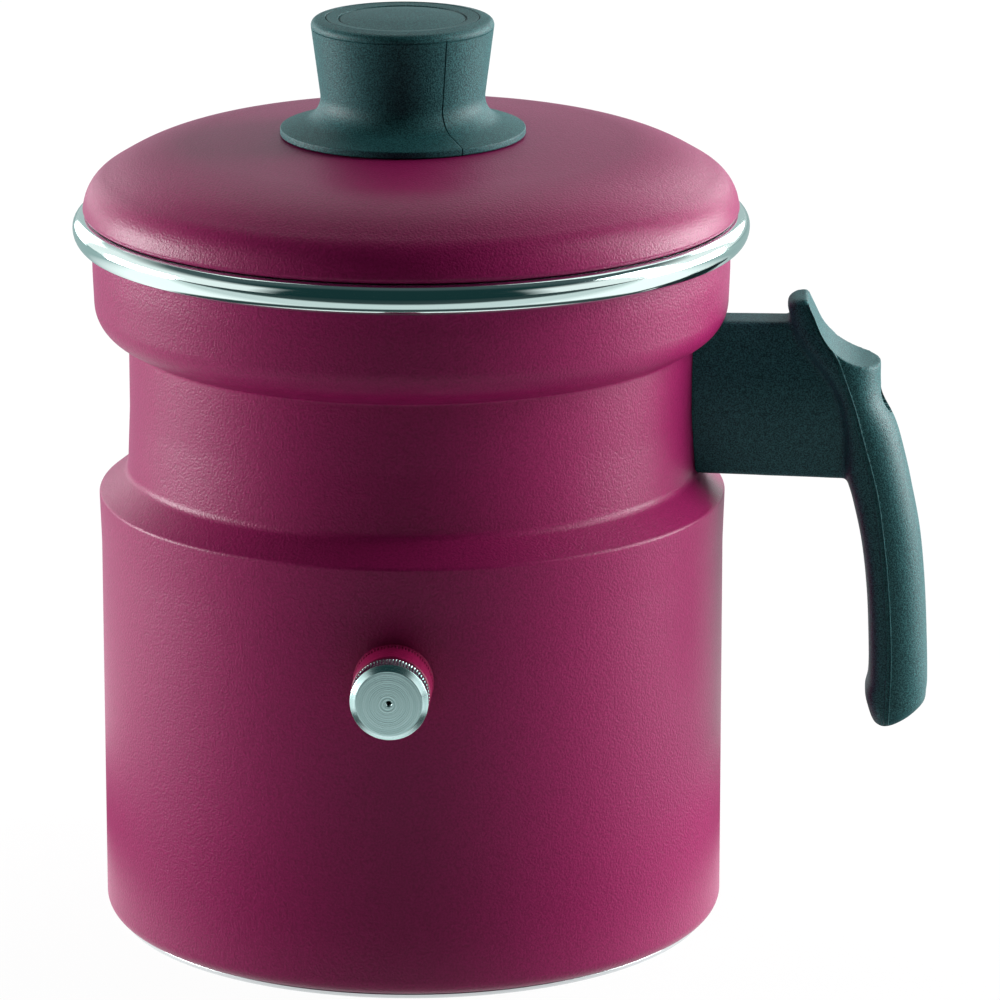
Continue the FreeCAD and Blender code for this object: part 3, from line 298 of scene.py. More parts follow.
# A ring below and above the hole keeps its cut within a narrow band of the wall.
jacket = turned("jacket_shell", with_rings(jacket_line, 68, 65.0, 81.4))
pierce(jacket, rod("jacket_hole", 6.7, 60, 80, PLUG_PLACE))
fit(jacket, lacquer, "pot", "red_coat", "outer_jacket")


# Inner vessel: the pot that holds the milk, spun from 1.2 mm aluminium and nested in the collar
# of the jacket, with 8 mm of water space under its floor. Its flange lies on the jacket's.

# Aluminium, spun and left bare: a soft silver with the tool's fine rings, drawn 0.5 mm apart.
spun, tree, place = new_material("aluminium_spun_bare")
rings, rings_normal = lathe_marks(tree, place, 0.5, 0.010)
shade = add_node(tree, "Mix", {"Factor": rings, "A": linear("#D3D6D8"), "B": linear("#E6E8E9")},
                 data_type="RGBA")
shader = add_node(tree, "BsdfPrincipled", {
    "Base Color": shade.outputs["Result"], "Metallic": 1.0, "Roughness": 0.27,
    "Normal": rings_normal})
add_node(tree, "OutputMaterial", {"Surface": shader.outputs[0]})

vessel_line = sheet_line([
    (0, 10.5, 0), (61.3, 10.5, 9.0), (61.3, 135.5, 1.0), (68.9, 139.2, 6.2), (69.4, 150.0, 60.0),
    (69.4, 158.85, 0.2), (74.2, 158.85, 0)], 1.2)
fit(turned("vessel_shell", vessel_line), spun, "pot", "spun_aluminium", "inner_vessel")


# Rim ring: a stainless steel strip, rolled over both flanges to an open bead, so that the lid
# and the pouring lip have a hard, bright edge.

# Stainless steel, roll-polished: a near mirror that is a little greyer than chrome.
bead_steel, tree, place = new_material("stainless_steel_polished")
_, rings_normal = lathe_marks(tree, place, 0.7, 0.002)
shader = add_node(tree, "BsdfPrincipled", {
    "Base Color": linear("#D4E7E4"), "Metallic": 1.0, "Roughness": 0.09, "Normal": rings_normal})
add_node(tree, "OutputMaterial", {"Surface": shader.outputs[0]})

# The strip's outer and inner face, each as (radius, drop, first angle, last angle): the bead is
# round above and drawn a little down below.
RING_CENTRE = Vector((72.5, 159.3))
RING_STEPS = 48
ring_line = []
for radius, drop, first, last in ((2.97, 3.75, -113.1, 163.2), (2.4, 3.15, 158.8, -119.4)):
    for step in range(RING_STEPS + 1):
        angle = math.radians(first + (last - first) * step / RING_STEPS)
        up = math.sin(angle) * (drop if math.sin(angle) < 0 else radius)
        ring_line.append((RING_CENTRE.x + radius * math.cos(angle), RING_CENTRE.y + up))
fit(turned("rim_bead", ring_line, closed=True), bead_steel, "pot", "polished_steel", "rim_ring")


# Lid: one aluminium blank spun to a low dome, hemmed under at its edge and turned down into a
# skirt that centres it in the pot. Lacquered outside, bare inside.
lid_line = sheet_line([
    (0, 179.6, 0), (29.8, 179.6, 300.0), (58.2, 177.25, 39.0), (72.05, 168.9, 9.5),
    (73.4, 162.4, 1.1), (67.6, 162.4, 0.5), (67.6, 154.0, 0)], -1.0)
lid = turned("lid_dome", lid_line)
KNOB_PLACE = Matrix.Translation((-1.8, 0, 0))
pierce(lid, rod("lid_hole", 2.8, 170, 190, KNOB_PLACE))
fit(lid, lacquer, "lid", "red_coat", "lid_shell")
lid.data.materials.append(spun)
# The bare side is the one that looks at the pot's inside: under the dome and within the hem.
UNDER_DOME, WITHIN_HEM = 178.9 / 1000, 72.5 / 1000
for face in lid.data.polygons:
    inner = face.center.z < UNDER_DOME and face.center.xy.length < WITHIN_HEM
    facing_in = face.normal.xy.dot(face.center.xy) < 0 or face.normal.z < -0.5
    if inner and facing_in and face.normal.z < 0.2:
        face.material_index = 1


# Knob: moulded in black phenolic round a brass insert, cored out from below. The mould leaves a
# parting line under the top edge and one seam down each side; a disc is let into its top.

# Phenolic, compression moulded in a blasted tool: a black with a green cast, matt and pebbled.
# The pebble is drawn 0.3 mm across, a little coarser than the real one.
phenolic, tree, place = new_material("phenolic_moulded_matt")
grain = add_node(tree, "TexNoise", {"Vector": place, "Scale": 1000 / 0.3, "Detail": 1.0,
                                    "Roughness": 0.6})
grain_bump = add_node(tree, "Bump", {"Height": grain.outputs[0], "Distance": 0.0001,
                                     "Strength": 0.8})
speck = add_node(tree, "MapRange", {"Value": grain.outputs[0], "From Min": 0.38, "From Max": 0.66})
shade = add_node(tree, "Mix", {
    "Factor": speck.outputs[0], "A": linear("#10393D"), "B": linear("#346D6F")}, data_type="RGBA")
shader = add_node(tree, "BsdfPrincipled", {
    "Base Color": shade.outputs["Result"], "Roughness": 0.5, "Specular IOR Level": 0.2,
    "Normal": grain_bump.outputs[0]})
add_node(tree, "OutputMaterial", {"Surface": shader.outputs[0]})

FOOT = 179.66
TOP = 206.46
PARTING = TOP - 2.8
PARTING_HALF, PARTING_DEPTH = 0.1, 0.2
SEAMS = (math.radians(-58), math.radians(122))
SEAM_HALF, SEAM_DEPTH = 0.12, 0.28
KNOB_SKIN = 16
knob_angles = {2 * math.pi * number / 180 for number in range(180)}
knob_angles |= {(seam + math.radians(step)) % (2 * math.pi)
                for seam in SEAMS for step in (-0.8, -0.45, -0.3, 0.0, 0.3, 0.45, 0.8)}


def mould_marks(radius, height, angle):
    """The groove of the two seams and of the parting line under the knob's top edge."""
    depth = 0
    if radius > KNOB_SKIN:
        for seam in SEAMS:
            off = abs(math.remainder(angle - seam, 2 * math.pi)) * radius
            if off < SEAM_HALF and FOOT < height < PARTING + 0.2:
                depth = SEAM_DEPTH
        if abs(height - PARTING) < PARTING_HALF:
            depth = PARTING_DEPTH
    return radius - depth, height


knob_line = rounded([
    (0, 191.8, 0), (4.05, 191.8, 0.2), (4.05, 179.75, 0.2), (8.0, 179.75, 0.4),
    (8.0, FOOT + 15.5, 0.6), (14.6, FOOT + 15.5, 1.0), (14.6, 179.75, 0.4), (22.0, 179.75, 0.1),
    (22.0, FOOT, 0.1), (27.3, FOOT, 0.3), (27.3, FOOT + 1.5, 0.3), (17.75, FOOT + 4.6, 5.5),
    (20.5, TOP - 1.1, 1.5), (17.1, TOP - 0.45, 0.3), (17.1, TOP - 2.0, 0), (0, TOP - 2.0, 0)])
knob_rings = [PARTING + offset for offset in (-0.3, -0.12, 0.0, 0.12, 0.3)]
knob_rings += [FOOT + 10 + step for step in range(13)]
knob = turned("knob_body", with_rings(knob_line, KNOB_SKIN, *knob_rings), axis=KNOB_PLACE,
              angles=sorted(knob_angles), reshape=mould_marks)
fit(knob, phenolic, "lid", "black_phenolic", "knob")

# The disc is a shallow dome inside a flat lip, with a groove between the two.
cap_line = rounded([(0, TOP - 1.95, 0), (16.95, TOP - 1.95, 0.1), (16.95, TOP - 0.55, 0.2),
                    (14.35, TOP - 0.8, 0.15), (14.25, TOP - 1.3, 0), (14.05, TOP - 1.3, 0),
                    (13.9, TOP - 0.95, 0.2), (7.5, TOP - 0.02, 30), (0, TOP + 0.25, 0)])
fit(turned("knob_disc", cap_line, axis=KNOB_PLACE), phenolic, "lid", "black_phenolic", "knob_cap")

# Brass, turned: the insert that is moulded into the knob keeps a warm yellow shine.
brass, tree, place = new_material("brass_turned")
rings, rings_normal = lathe_marks(tree, place, 0.3, 0.004)
shade = add_node(tree, "Mix", {"Factor": rings, "A": linear("#B08D45"), "B": linear("#D2B068")},
                 data_type="RGBA")
shader = add_node(tree, "BsdfPrincipled", {
    "Base Color": shade.outputs["Result"], "Metallic": 1.0, "Roughness": 0.3,
    "Normal": rings_normal})
add_node(tree, "OutputMaterial", {"Surface": shader.outputs[0]})


def coated(node, material):
    """Give a solid of the frame, which shows as it is, its finish."""
    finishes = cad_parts[node].data.materials
    finishes.clear()
    finishes.append(material)


coated("knob_insert", brass)


# Screws and washers: slotted pan-head machine screws in zinc-plated steel. An M5 screw holds the
# knob from under the lid, and a long M4 screw draws the handle on to its lug.

# Steel, bright zinc plated: a cool pale grey shine with a faint mottle, 1.5 mm across.
zinc, tree, place = new_material("steel_zinc_plated")
mottle = add_node(tree, "TexNoise", {"Vector": place, "Scale": 1000 / 1.5, "Detail": 3.0})
shade = add_node(tree, "Mix", {
    "Factor": mottle.outputs[0], "A": linear("#B3B9BE"), "B": linear("#D0D4D6")}, data_type="RGBA")
rough = add_node(tree, "MapRange", {"Value": mottle.outputs[0], "To Min": 0.22, "To Max": 0.38})
shader = add_node(tree, "BsdfPrincipled", {
    "Base Color": shade.outputs["Result"], "Metallic": 1.0, "Roughness": rough.outputs[0]})
add_node(tree, "OutputMaterial", {"Surface": shader.outputs[0]})


def thread(pitch, depth, start, end):
    """A reshape that cuts a screw thread between two heights."""
    def cut(radius, height, angle):
        if start < height < end and radius > 1:
            turn = (height / pitch - angle / (2 * math.pi)) % 1
            return radius - depth * (1 - abs(2 * turn - 1)), height
        return radius, height
    return cut


def pan_screw(name, radius, length, pitch, head_radius, head_height, axis):
    """A slotted pan-head screw: its head sits at 0 and its thread runs up to length."""
    steps = math.ceil(length / (pitch / 6))
    line = [(0, length), (radius - 0.5, length)]
    line += [(radius, length - 0.4 - (length - 0.5) * step / steps) for step in range(steps + 1)]
    line += rounded([(radius, 0.05, 0), (radius, 0, 0.02), (head_radius, 0, 0.2),
                     (head_radius, -head_height, head_height * 0.55), (0, -head_height, 0)])[1:]
    screw = turned(name, line, axis=axis, angles=72,
                   reshape=thread(pitch, pitch * 0.55, 0.6, length - 0.4))
    slot = bmesh.new()
    bmesh.ops.create_cube(slot, size=1)
    shape = Matrix.Diagonal((2.2 * head_radius + 1, 1.1, 2.6, 1))
    bmesh.ops.transform(slot, verts=slot.verts, space=UP, matrix=Matrix.Scale(0.001, 4)
                        @ axis @ Matrix.Translation((0, 0, -head_height)) @ shape)
    pierce(screw, solid(name + "_slot", slot))
    return screw


knob_screw = pan_screw("knob_screw_m5", 2.5, 11.5, 0.8, 4.5, 3.0,
                       Matrix.Translation((-1.8, 0, 177.34)))
fit(knob_screw, zinc, "lid", "plated_screw", "knob_screw")
ARM_AXIS = Matrix.Translation((97.86, 0, 120.3)) @ Matrix.Rotation(math.radians(-90), 4, "Y")
handle_screw = pan_screw("handle_screw_m4", 2.0, 27.9, 0.7, 3.1, 2.6, ARM_AXIS)
fit(handle_screw, zinc, "pot", "plated_screw", "handle_screw")
coated("knob_washer", zinc)
coated("handle_washer", zinc)


# Filler bush: an aluminium bush, swaged into the jacket's wall and lacquered with it. The tool
# leaves a row of ribs at its foot, and its M10 bore is the way in for the jacket's water.
RIBS, RIB_DEPTH = 72, 0.25
RIB_FOOT, RIB_END = 70.7, 72.4
BUSH_SKIN = 8.2


def ribs(radius, height, angle):
    """Short ribs round the foot of the bush, pressed in when it is swaged."""
    if radius > BUSH_SKIN and RIB_FOOT < height < RIB_END:
        return radius - RIB_DEPTH * (math.sin(RIBS * angle) > 0.1), height
    return radius, height


# The same lacquer in darker reds on the bush: painted shade, for the bush lies between the wall and
# the plug's head.
lacquer_in_painted_shade = lacquer.copy()
lacquer_in_painted_shade.name = "silicone_polyester_lacquer_painted_shade"
for socket, tint in (("A", "#6E0A36"), ("B", "#860F45")):
    lacquer_in_painted_shade.node_tree.nodes[lacquer_shade].inputs[socket].default_value = linear(tint)
boss_line = rounded([
    (5.06, 79.2, 0.2), (8.6, 79.2, 0.5), (8.6, 70.3, 0.2), (8.85, 69.6, 0.1), (6.6, 69.6, 0.1),
    (6.6, 67.1, 0.1), (7.5, 67.1, 0.2), (7.5, 66.1, 0.2), (5.06, 66.1, 0.2)], closed=True)
rib_rings = [end + offset for end in (RIB_FOOT, RIB_END) for offset in (-0.1, 0.1)]
boss = turned("filler_bush", with_rings(boss_line, BUSH_SKIN, *rib_rings), closed=True,
              axis=PLUG_PLACE, angles=432, reshape=ribs)
fit(boss, lacquer_in_painted_shade, "pot", "red_coat", "filler_boss")


# Filler plug: turned from stainless bar, with a knurled head, an M10 thread and a 1 mm vent
# bored right through for the steam. A silicone ring under its head seals it on the bush.

# Stainless steel, turned on a lathe: bright, with the tool's rings showing across its face.
plug_steel, tree, place = new_material("stainless_steel_turned")
lowered = add_node(tree, "VectorMath", {0: place, 1: (0.0, 0.0, -0.0732)}, operation="ADD")
ripple = add_node(tree, "TexNoise", {"Vector": place, "Scale": 220.0, "Detail": 2.0})
ripple = add_node(tree, "VectorMath", {0: ripple.outputs["Color"], 1: (0.0004, 0.0, 0.0004)},
                  operation="MULTIPLY")
uneven = add_node(tree, "VectorMath", {0: lowered.outputs[0], 1: ripple.outputs[0]},
                  operation="ADD")
rings, rings_normal = lathe_marks(tree, uneven.outputs[0], 0.35, 0.02, along="Y")
shade = add_node(tree, "Mix", {"Factor": rings, "A": linear("#A6C9C8"), "B": linear("#D8F0EF")},
                 data_type="RGBA")
shader = add_node(tree, "BsdfPrincipled", {
    "Base Color": shade.outputs["Result"], "Metallic": 1.0, "Roughness": 0.24,
    "Normal": rings_normal})
add_node(tree, "OutputMaterial", {"Surface": shader.outputs[0]})

HEAD_BACK = 80.2
HEAD_FACE = 85.6
HEAD_SKIN = 8.2
TEETH, TOOTH_DEPTH = 72, 0.42
THREAD_POINTS = 80
plug_thread = thread(1.5, 0.85, 69.9, HEAD_BACK - 0.4)


def knurl(radius, height, angle):
    """Straight teeth round the head, and the thread under it."""
    if radius > HEAD_SKIN and HEAD_BACK + 0.5 < height < HEAD_FACE - 1.02:
        tooth = (angle * TEETH / (2 * math.pi)) % 1
        return radius - TOOTH_DEPTH * abs(2 * tooth - 1), height
    return plug_thread(radius, height, angle) if 4 < radius < 5.1 else (radius, height)


plug_line = [(0.5, 69.6), (4.6, 69.6)]
plug_line += [(5.0, 70.0 + 9.9 * step / (THREAD_POINTS - 1)) for step in range(THREAD_POINTS)]
plug_line += rounded([
    (5.0, 80.0, 0), (5.0, HEAD_BACK, 0.05), (8.45, HEAD_BACK, 0.12), (8.45, 80.75, 0),
    (8.45, 84.6, 0.08), (7.2, HEAD_FACE, 0.08), (0.7, HEAD_FACE, 0.05), (0.5, 85.4, 0)])
plug = turned("filler_plug_body", plug_line, closed=True, axis=PLUG_PLACE, angles=432,
              reshape=knurl)
fit(plug, plug_steel, "plug", "turned_steel", "filler_plug")

# Silicone rubber, moulded: a translucent grey white with a dull skin.
silicone, tree, place = new_material("silicone_rubber_moulded")
dust = add_node(tree, "TexNoise", {"Vector": place, "Scale": 1000 / 0.8, "Detail": 2.0})
shade = add_node(tree, "Mix", {
    "Factor": dust.outputs[0], "A": linear("#C9CBC8"), "B": linear("#DADBD8")}, data_type="RGBA")
shader = add_node(tree, "BsdfPrincipled", {
    "Base Color": shade.outputs["Result"], "Roughness": 0.55})
add_node(tree, "OutputMaterial", {"Surface": shader.outputs[0]})
seal_line = rounded([(5.1, 79.3, 0.25), (7.6, 79.3, 0.3), (7.6, 80.1, 0.3), (5.1, 80.1, 0.25)],
                    closed=True)
fit(turned("seal_ring", seal_line, closed=True, axis=PLUG_PLACE), silicone, "seal", "silicone",
    "plug_seal")


# Handle lug: an aluminium lug on a small plate, welded to the neck before the pot is lacquered.
# Only the handle's pocket sees it.
coated("handle_lug", spun)


# Handle: one phenolic moulding. A barrel-sided arm fits the neck under the collar, and carries
# a blade that starts in a scooped thumb rest and sweeps down into the grip, which stands off
# the wall. The mould parts along the blade's middle and leaves a fine raised line there.
def tweened(stations, steps):
    """Stations joined by a smooth curve through all of them."""
    rows = []
    for number in range(len(stations) - 1):
        around = [Vector(stations[max(0, min(len(stations) - 1, number + off))])
                  for off in (-1, 0, 1, 2)]
        for step in range(steps):
            share = step / steps
            before, here, after, beyond = around
            rows.append(here + 0.5 * share * (
                (after - before) + share * (2 * before - 5 * here + 4 * after - beyond
                                            + share * (3 * (here - after) + beyond - before))))
    rows.append(Vector(stations[-1]))
    return rows


# Each station: the inner side, the widest line and the outer side as (x, z), and half the width.
BLADE = [
    (85.4, 143.6, 87.6, 143.9, 89.3, 144.1, 5.2), (84.1, 142.4, 88.1, 143.0, 90.0, 143.2, 6.1),
    (84.4, 140.2, 89.2, 140.7, 93.0, 141.6, 7.0), (86.0, 134.6, 91.6, 136.0, 99.0, 139.3, 8.6),
    (90.3, 129.2, 94.8, 131.3, 104.0, 135.5, 10.0), (93.9, 124.3, 96.7, 126.3, 105.0, 130.5, 10.3),
    (95.8, 119.5, 98.8, 120.2, 105.4, 122.0, 10.2), (97.0, 111.5, 100.9, 112.5, 108.7, 114.8, 10.0),
    (97.3, 104.0, 102.9, 105.2, 110.9, 107.0, 10.0), (99.0, 98.0, 104.3, 99.2, 112.3, 100.8, 10.0),
    (101.2, 88.0, 105.8, 88.8, 114.4, 90.0, 10.0), (102.6, 76.0, 107.0, 76.5, 115.7, 77.2, 10.0),
    (103.2, 63.0, 107.7, 63.2, 116.4, 63.3, 9.9), (103.2, 56.0, 107.6, 55.6, 116.6, 55.0, 9.7),
    (102.5, 52.5, 107.5, 52.2, 116.4, 52.6, 9.4), (103.2, 49.2, 107.4, 49.0, 116.0, 50.0, 9.0),
    (104.3, 46.2, 107.3, 46.4, 113.4, 47.2, 7.5), (105.6, 44.7, 107.3, 44.6, 110.8, 45.3, 4.5)]
BLADE_END = (107.4, 0, 43.6)


def lofted(name, rings, ends=(None, None)):
    """A closed piece through rings of points in mm, its ends fans to a point or flat."""
    mesh = bmesh.new()
    rows = [[mesh.verts.new(Vector(point) / 1000) for point in ring] for ring in rings]
    for low, high in zip(rows, rows[1:]):
        for here in range(len(low)):
            after = (here + 1) % len(low)
            mesh.faces.new((low[here], low[after], high[after], high[here]))
    for row, tip in zip((rows[0], rows[-1]), ends):
        if tip is None:
            mesh.faces.new(row)
            continue
        point = mesh.verts.new(Vector(tip) / 1000)
        for here in range(len(row)):
            mesh.faces.new((row[here], row[(here + 1) % len(row)], point))
    return solid(name, mesh)


def power(value, exponent):
    """A power that keeps its sign, as the outline of a squared-off oval takes it."""
    return math.copysign(abs(value) ** (2 / exponent), value)


def blade_ring(station):
    """A section of the blade: squarer inside the widest line, rounder outside it."""
    sides = 64
    inner, ridge, outer = (Vector((station[place], 0, station[place + 1])) for place in (0, 2, 4))
    ring = []
    for side in range(sides):
        angle = 2 * math.pi * side / sides
        exponent, edge = (3.5, inner) if math.sin(angle) < 0 else (2.2, outer)
        away = (edge - ridge) * abs(power(math.sin(angle), exponent))
        ring.append(ridge + away + Vector((0, station[6] * power(math.cos(angle), exponent), 0)))
    return ring


blade_rows = tweened(BLADE, 6)
handle = lofted("handle_moulding", [blade_ring(row) for row in blade_rows],
                (None, BLADE_END))


ARM_TOP = 138.5
arm_line = rounded([(-4.8, -34.9, 1.2), (4.8, -34.9, 1.2), (8.2, -17.45, 40.0), (4.8, 0, 1.2),
                    (-4.8, 0, 1.2), (-8.2, -17.45, 40.0)], closed=True)
arm = lofted("arm_bar", [[(x, across, ARM_TOP + up * growth) for across, up in arm_line]
                         for x, growth in ((55.0, 1.0), (99.5, 1.035))])
scoop_line = rounded([(70, 175, 0), (88.3, 144.2, 1.4), (94.2, 130.6, 14.0), (104.0, 129.0, 1.0),
                      (130, 128.4, 0), (130, 175, 0)])


def scoop(name):
    """The room over the thumb rest, as a piece to cut with."""
    return lofted(name, [[(across, side, up) for across, up in scoop_line] for side in (-20, 20)])


def blended(piece, grain, passes):
    """Melt a piece's overlapping parts into one skin, with its edges eased."""
    skin = piece.modifiers.new("skin", "REMESH")
    skin.mode = "VOXEL"
    skin.voxel_size = grain / 1000
    ease = piece.modifiers.new("ease", "SMOOTH")
    ease.factor = 0.5
    ease.iterations = passes
    settle(piece)


def joined(piece, *others):
    """One object from several."""
    mesh = bmesh.new()
    for part in (piece, *others):
        mesh.from_mesh(part.data)
    mesh.to_mesh(piece.data)
    mesh.free()
    for part in others:
        bpy.data.objects.remove(part)


joined(handle, arm)
blended(handle, 0.45, 0)
pierce(handle, scoop("thumb_room"))
blended(handle, 0.38, 4)
SIDE = Matrix.Rotation(math.radians(90), 4, "Y")
SCREW_PLACE = Matrix.Translation((0, 0, 120.3)) @ SIDE
neck = turned("neck_room", rounded([
    (0, 87.0, 0), (70.5, 87.0, 0), (70.5, 98.8, 0), (64.0, 103.9, 2.4), (63.4, 118.0, 0),
    (63.4, 133.6, 0.9), (70.8, 137.3, 8.1), (71.3, 150.0, 0), (0, 150.0, 0)]))
# One stepped cutter makes the pocket for the lug, the screw's hole and the recess for its head.
screw_room = turned("screw_room", [(0, 50), (4.65, 50), (4.65, 77.15), (2.3, 77.15), (2.3, 97.0),
                                   (3.5, 97.0), (3.5, 130), (0, 130)], axis=SCREW_PLACE, angles=96)
pierce(handle, neck, screw_room)

# What is left of the mould's flash: two fine ridges on each side, 0.9 mm apart and 0.25 mm
# proud, from the thumb rest to just above the grip's end.
FLASH_OFF, FLASH_HEIGHT = 0.45, 0.25
FLASH_FOOT, FLASH_CREST = 0.2, 0.08
flash_rows = blade_rows[7:-4]
for side in (-1, 1):
    for apart in (-FLASH_OFF, FLASH_OFF):
        rings = []
        for number, row in enumerate(flash_rows):
            above = flash_rows[max(0, number - 1)]
            below = flash_rows[min(len(flash_rows) - 1, number + 1)]
            run = Vector((below[2] - above[2], 0, below[3] - above[3])).normalized()
            across = Vector((-run.z, 0, run.x))
            middle = Vector((row[2], side * row[6], row[3])) + across * apart
            proud = Vector((0, side * FLASH_HEIGHT, 0))
            foot, crest = across * FLASH_FOOT, across * FLASH_CREST
            rings.append([middle - foot - 3 * proud, middle - foot, middle - crest + proud,
                          middle + crest + proud, middle + foot, middle + foot - 3 * proud])
        flash = lofted("flash", rings)
        pierce(flash, scoop("flash_room"))
        bond = handle.modifiers.new("bond", "BOOLEAN")
        bond.operation, bond.solver, bond.object = "UNION", "EXACT", flash
        settle(handle)
        bpy.data.objects.remove(flash)
fit(handle, phenolic, "pot", "black_phenolic", "handle", least=0.02)


# Studio: a pale floor in a pale room, a long softbox at each side, one above the right one, and
# weak ones behind. What shines in the pot is dark in front, as it is round a camera, and dim
# overhead; the floor shines beside the pot and in a strip before it, and is dim far behind.
floor_mesh = bmesh.new()
bmesh.ops.create_grid(floor_mesh, x_segments=1, y_segments=1, size=6)
floor = solid("floor", floor_mesh)
floor.location.z = -0.0002
# Dark cloth round the camera; on the floor, the same dark is the pot's painted shadow.
DARK_CLOTH_AND_SHADOW = linear("#1B3738")
WHITE = (1.0, 1.0, 1.0, 1.0)
PALE_WALL = (1.1, 1.1, 1.1, 1.0)
LIT_PAPER = (1.35, 1.35, 1.35, 1.0)

# Seamless paper: white where it is looked at, with a little of its own shade left in, so that
# the pot keeps its shadow.
floor_paper, tree, place = new_material("floor_paper")
path = add_node(tree, "LightPath")
direct = add_node(tree, "Math", {0: path.outputs["Is Camera Ray"],
                                 1: path.outputs["Is Transmission Ray"]}, operation="MAXIMUM")
seen = add_node(tree, "Math", {0: direct.outputs[0], 1: path.outputs["Is Glossy Ray"]},
                operation="MAXIMUM")
share = add_node(tree, "Math", {0: seen.outputs[0], 1: 0.94}, operation="MULTIPLY")
way = add_node(tree, "SeparateXYZ", {"Vector": place})
off = add_node(tree, "VectorMath", {0: place}, operation="LENGTH")
# Mirrored in the pot it is dark in a ring round the foot, a painted shadow of the pot, and from 0.3
# m in front.
foot = add_node(tree, "MapRange", {"Value": off.outputs["Value"], "From Min": 0.085,
                                   "From Max": 0.105, "To Min": 1.0, "To Max": 0.0})
beyond = add_node(tree, "MapRange", {"Value": off.outputs["Value"], "From Min": 0.15,
                                     "From Max": 0.17})
open_floor = add_node(tree, "Math", {0: foot.outputs[0], 1: beyond.outputs[0]},
                      operation="MAXIMUM")
strip = add_node(tree, "MapRange", {"Value": way.outputs["Y"], "From Min": -0.37,
                                    "From Max": -0.3})
lit = add_node(tree, "Math", {0: open_floor.outputs[0], 1: strip.outputs[0]},
               operation="MULTIPLY")
# Elsewhere it is painted light: pale in front, brightest beside the pot where the softboxes light
# the paper, and dim behind it.
beside = add_node(tree, "MapRange", {"Value": way.outputs["Y"], "From Min": -0.16,
                                     "From Max": -0.08})
near = add_node(tree, "Mix", {"Factor": beside.outputs[0], "A": linear("#E4ECEC"),
                              "B": LIT_PAPER}, data_type="RGBA")
behind = add_node(tree, "MapRange", {"Value": way.outputs["Y"], "From Min": 0.1,
                                     "From Max": 0.35})
pale = add_node(tree, "Mix", {"Factor": behind.outputs[0], "A": near.outputs["Result"],
                              "B": linear("#A0B8B8")}, data_type="RGBA")
mirrored = add_node(tree, "Mix", {"Factor": lit.outputs[0], "A": DARK_CLOTH_AND_SHADOW,
                                  "B": pale.outputs["Result"]}, data_type="RGBA")
# The white rises a little with the distance, where less light falls on the paper.
white_level = add_node(tree, "MapRange", {"Value": off.outputs["Value"], "From Min": 0.3,
                                          "From Max": 1.2, "To Min": 1.03, "To Max": 1.064})
level = add_node(tree, "Mix", {"Factor": direct.outputs[0], "A": mirrored.outputs["Result"],
                               "B": white_level.outputs[0]}, data_type="RGBA")
paper = add_node(tree, "BsdfDiffuse", {"Color": linear("#D8D8D8")})
glow = add_node(tree, "Emission", {"Color": level.outputs["Result"], "Strength": 1.0})
mixed = add_node(tree, "MixShader", {0: share.outputs[0], 1: paper.outputs[0],
                                     2: glow.outputs[0]})
add_node(tree, "OutputMaterial", {"Surface": mixed.outputs[0]})
floor.data.materials.append(floor_paper)

# The room gives no light of its own: it is white where it is looked at, and what mirrors it
# sees pale walls, dark in front and greyer far behind, under a dim ceiling.
world = bpy.data.worlds.new("studio")
bpy.context.scene.world = world
world.use_nodes = True
tree = world.node_tree
tree.nodes.clear()
path = add_node(tree, "LightPath")
way = add_node(tree, "SeparateXYZ", {"Vector": add_node(tree, "TexCoord").outputs["Generated"]})
level_way = add_node(tree, "CombineXYZ", {"X": way.outputs["X"], "Y": way.outputs["Y"]})
level_way = add_node(tree, "VectorMath", {0: level_way.outputs[0]}, operation="NORMALIZE")
level_way = add_node(tree, "SeparateXYZ", {"Vector": level_way.outputs[0]})
around = add_node(tree, "MapRange", {"Value": level_way.outputs["Y"], "From Min": -0.75,
                                     "From Max": -0.6})
walls = add_node(tree, "Mix", {"Factor": around.outputs[0], "A": DARK_CLOTH_AND_SHADOW, "B": PALE_WALL},
                 data_type="RGBA")
far = add_node(tree, "MapRange", {"Value": level_way.outputs["Y"], "From Min": 0.7,
                                  "From Max": 0.92})
walls = add_node(tree, "Mix", {"Factor": far.outputs[0], "A": walls.outputs["Result"],
                               "B": linear("#BDCDCD")}, data_type="RGBA")
behind = add_node(tree, "MapRange", {"Value": way.outputs["Y"], "From Min": -0.3,
                                     "From Max": 0.0})
ceiling = add_node(tree, "Mix", {"Factor": behind.outputs[0], "A": DARK_CLOTH_AND_SHADOW,
                                 "B": linear("#4A5A5C")}, data_type="RGBA")
above = add_node(tree, "MapRange", {"Value": way.outputs["Z"], "From Min": 0.5, "From Max": 0.7})
room = add_node(tree, "Mix", {"Factor": above.outputs[0], "A": walls.outputs["Result"],
                              "B": ceiling.outputs["Result"]}, data_type="RGBA")
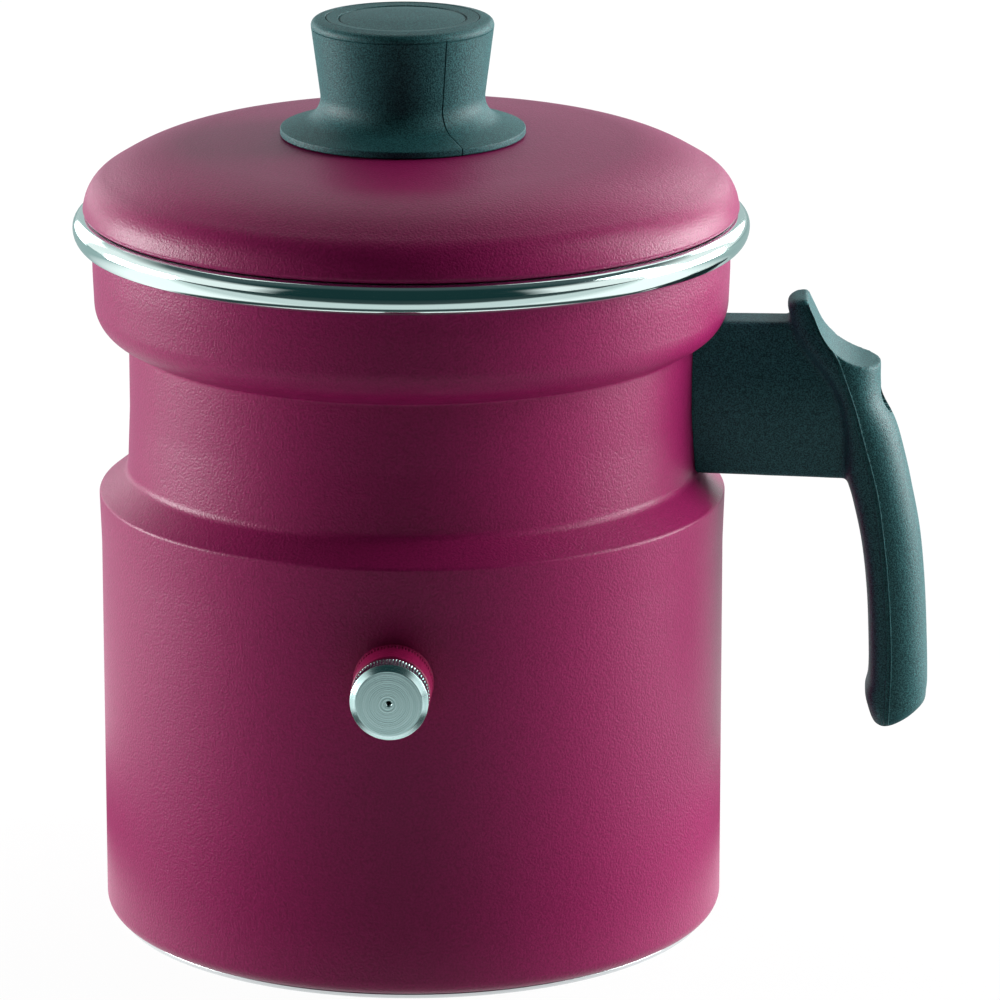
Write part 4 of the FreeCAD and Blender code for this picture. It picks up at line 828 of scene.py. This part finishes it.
seen = add_node(tree, "Math", {0: path.outputs["Is Camera Ray"],
                               1: path.outputs["Is Transmission Ray"]}, operation="MAXIMUM")
colour = add_node(tree, "Mix", {"Factor": seen.outputs[0], "A": room.outputs["Result"],
                                "B": WHITE}, data_type="RGBA")
level = add_node(tree, "Math", {0: seen.outputs[0], 1: path.outputs["Is Glossy Ray"]},
                 operation="MAXIMUM")
sky = add_node(tree, "Background", {"Color": colour.outputs["Result"],
                                    "Strength": level.outputs[0]})
add_node(tree, "OutputWorld", {"Surface": sky.outputs[0]})


def softbox(name, turn, rise, reach, size, watts):
    """A rectangular lamp turned to the pot, at degrees round from its front and above it."""
    lamp = bpy.data.lights.new(name, "AREA")
    lamp.shape = "RECTANGLE"
    lamp.size, lamp.size_y = size
    lamp.energy = watts
    box = bpy.data.objects.new(name, lamp)
    middle = Vector((0, 0, 0.1))
    aim = Matrix.Rotation(math.radians(turn), 4, "Z") @ Matrix.Rotation(math.radians(-rise), 4, "X")
    away = aim @ Vector((0, -reach, 0))
    box.location = middle + away
    box.rotation_euler = (-away).to_track_quat("-Z", "Y").to_euler()
    box.visible_camera = False
    bpy.context.scene.collection.objects.link(box)


softbox("softbox_left", -99, 4, 1.35, (0.85, 0.6), 31)
softbox("softbox_right", 109, 4, 1.35, (1.05, 0.6), 32)
softbox("softbox_right_high", 96, 32, 1.35, (0.5, 0.7), 10)
softbox("softbox_rear_left", -145, 12, 1.35, (0.5, 0.7), 2)
softbox("softbox_rear_right", 150, 22, 1.35, (0.5, 0.7), 4)
softbox("softbox_rear_top", 180, 54, 1.5, (1.4, 1.0), 5.5)

# A long lens, 1.5 m off, that looks 15 degrees down.
camera = bpy.data.cameras.new("camera")
camera.lens = 240.4
camera.sensor_width = 36
eye = bpy.data.objects.new("camera", camera)
eye.location = (0.0887, -1.4506, 0.4913)
eye.rotation_euler = (math.radians(90 - 15.25), 0, math.radians(2.72))
bpy.context.scene.collection.objects.link(eye)
bpy.context.scene.camera = eye
bpy.context.scene.view_settings.view_transform = "Standard"
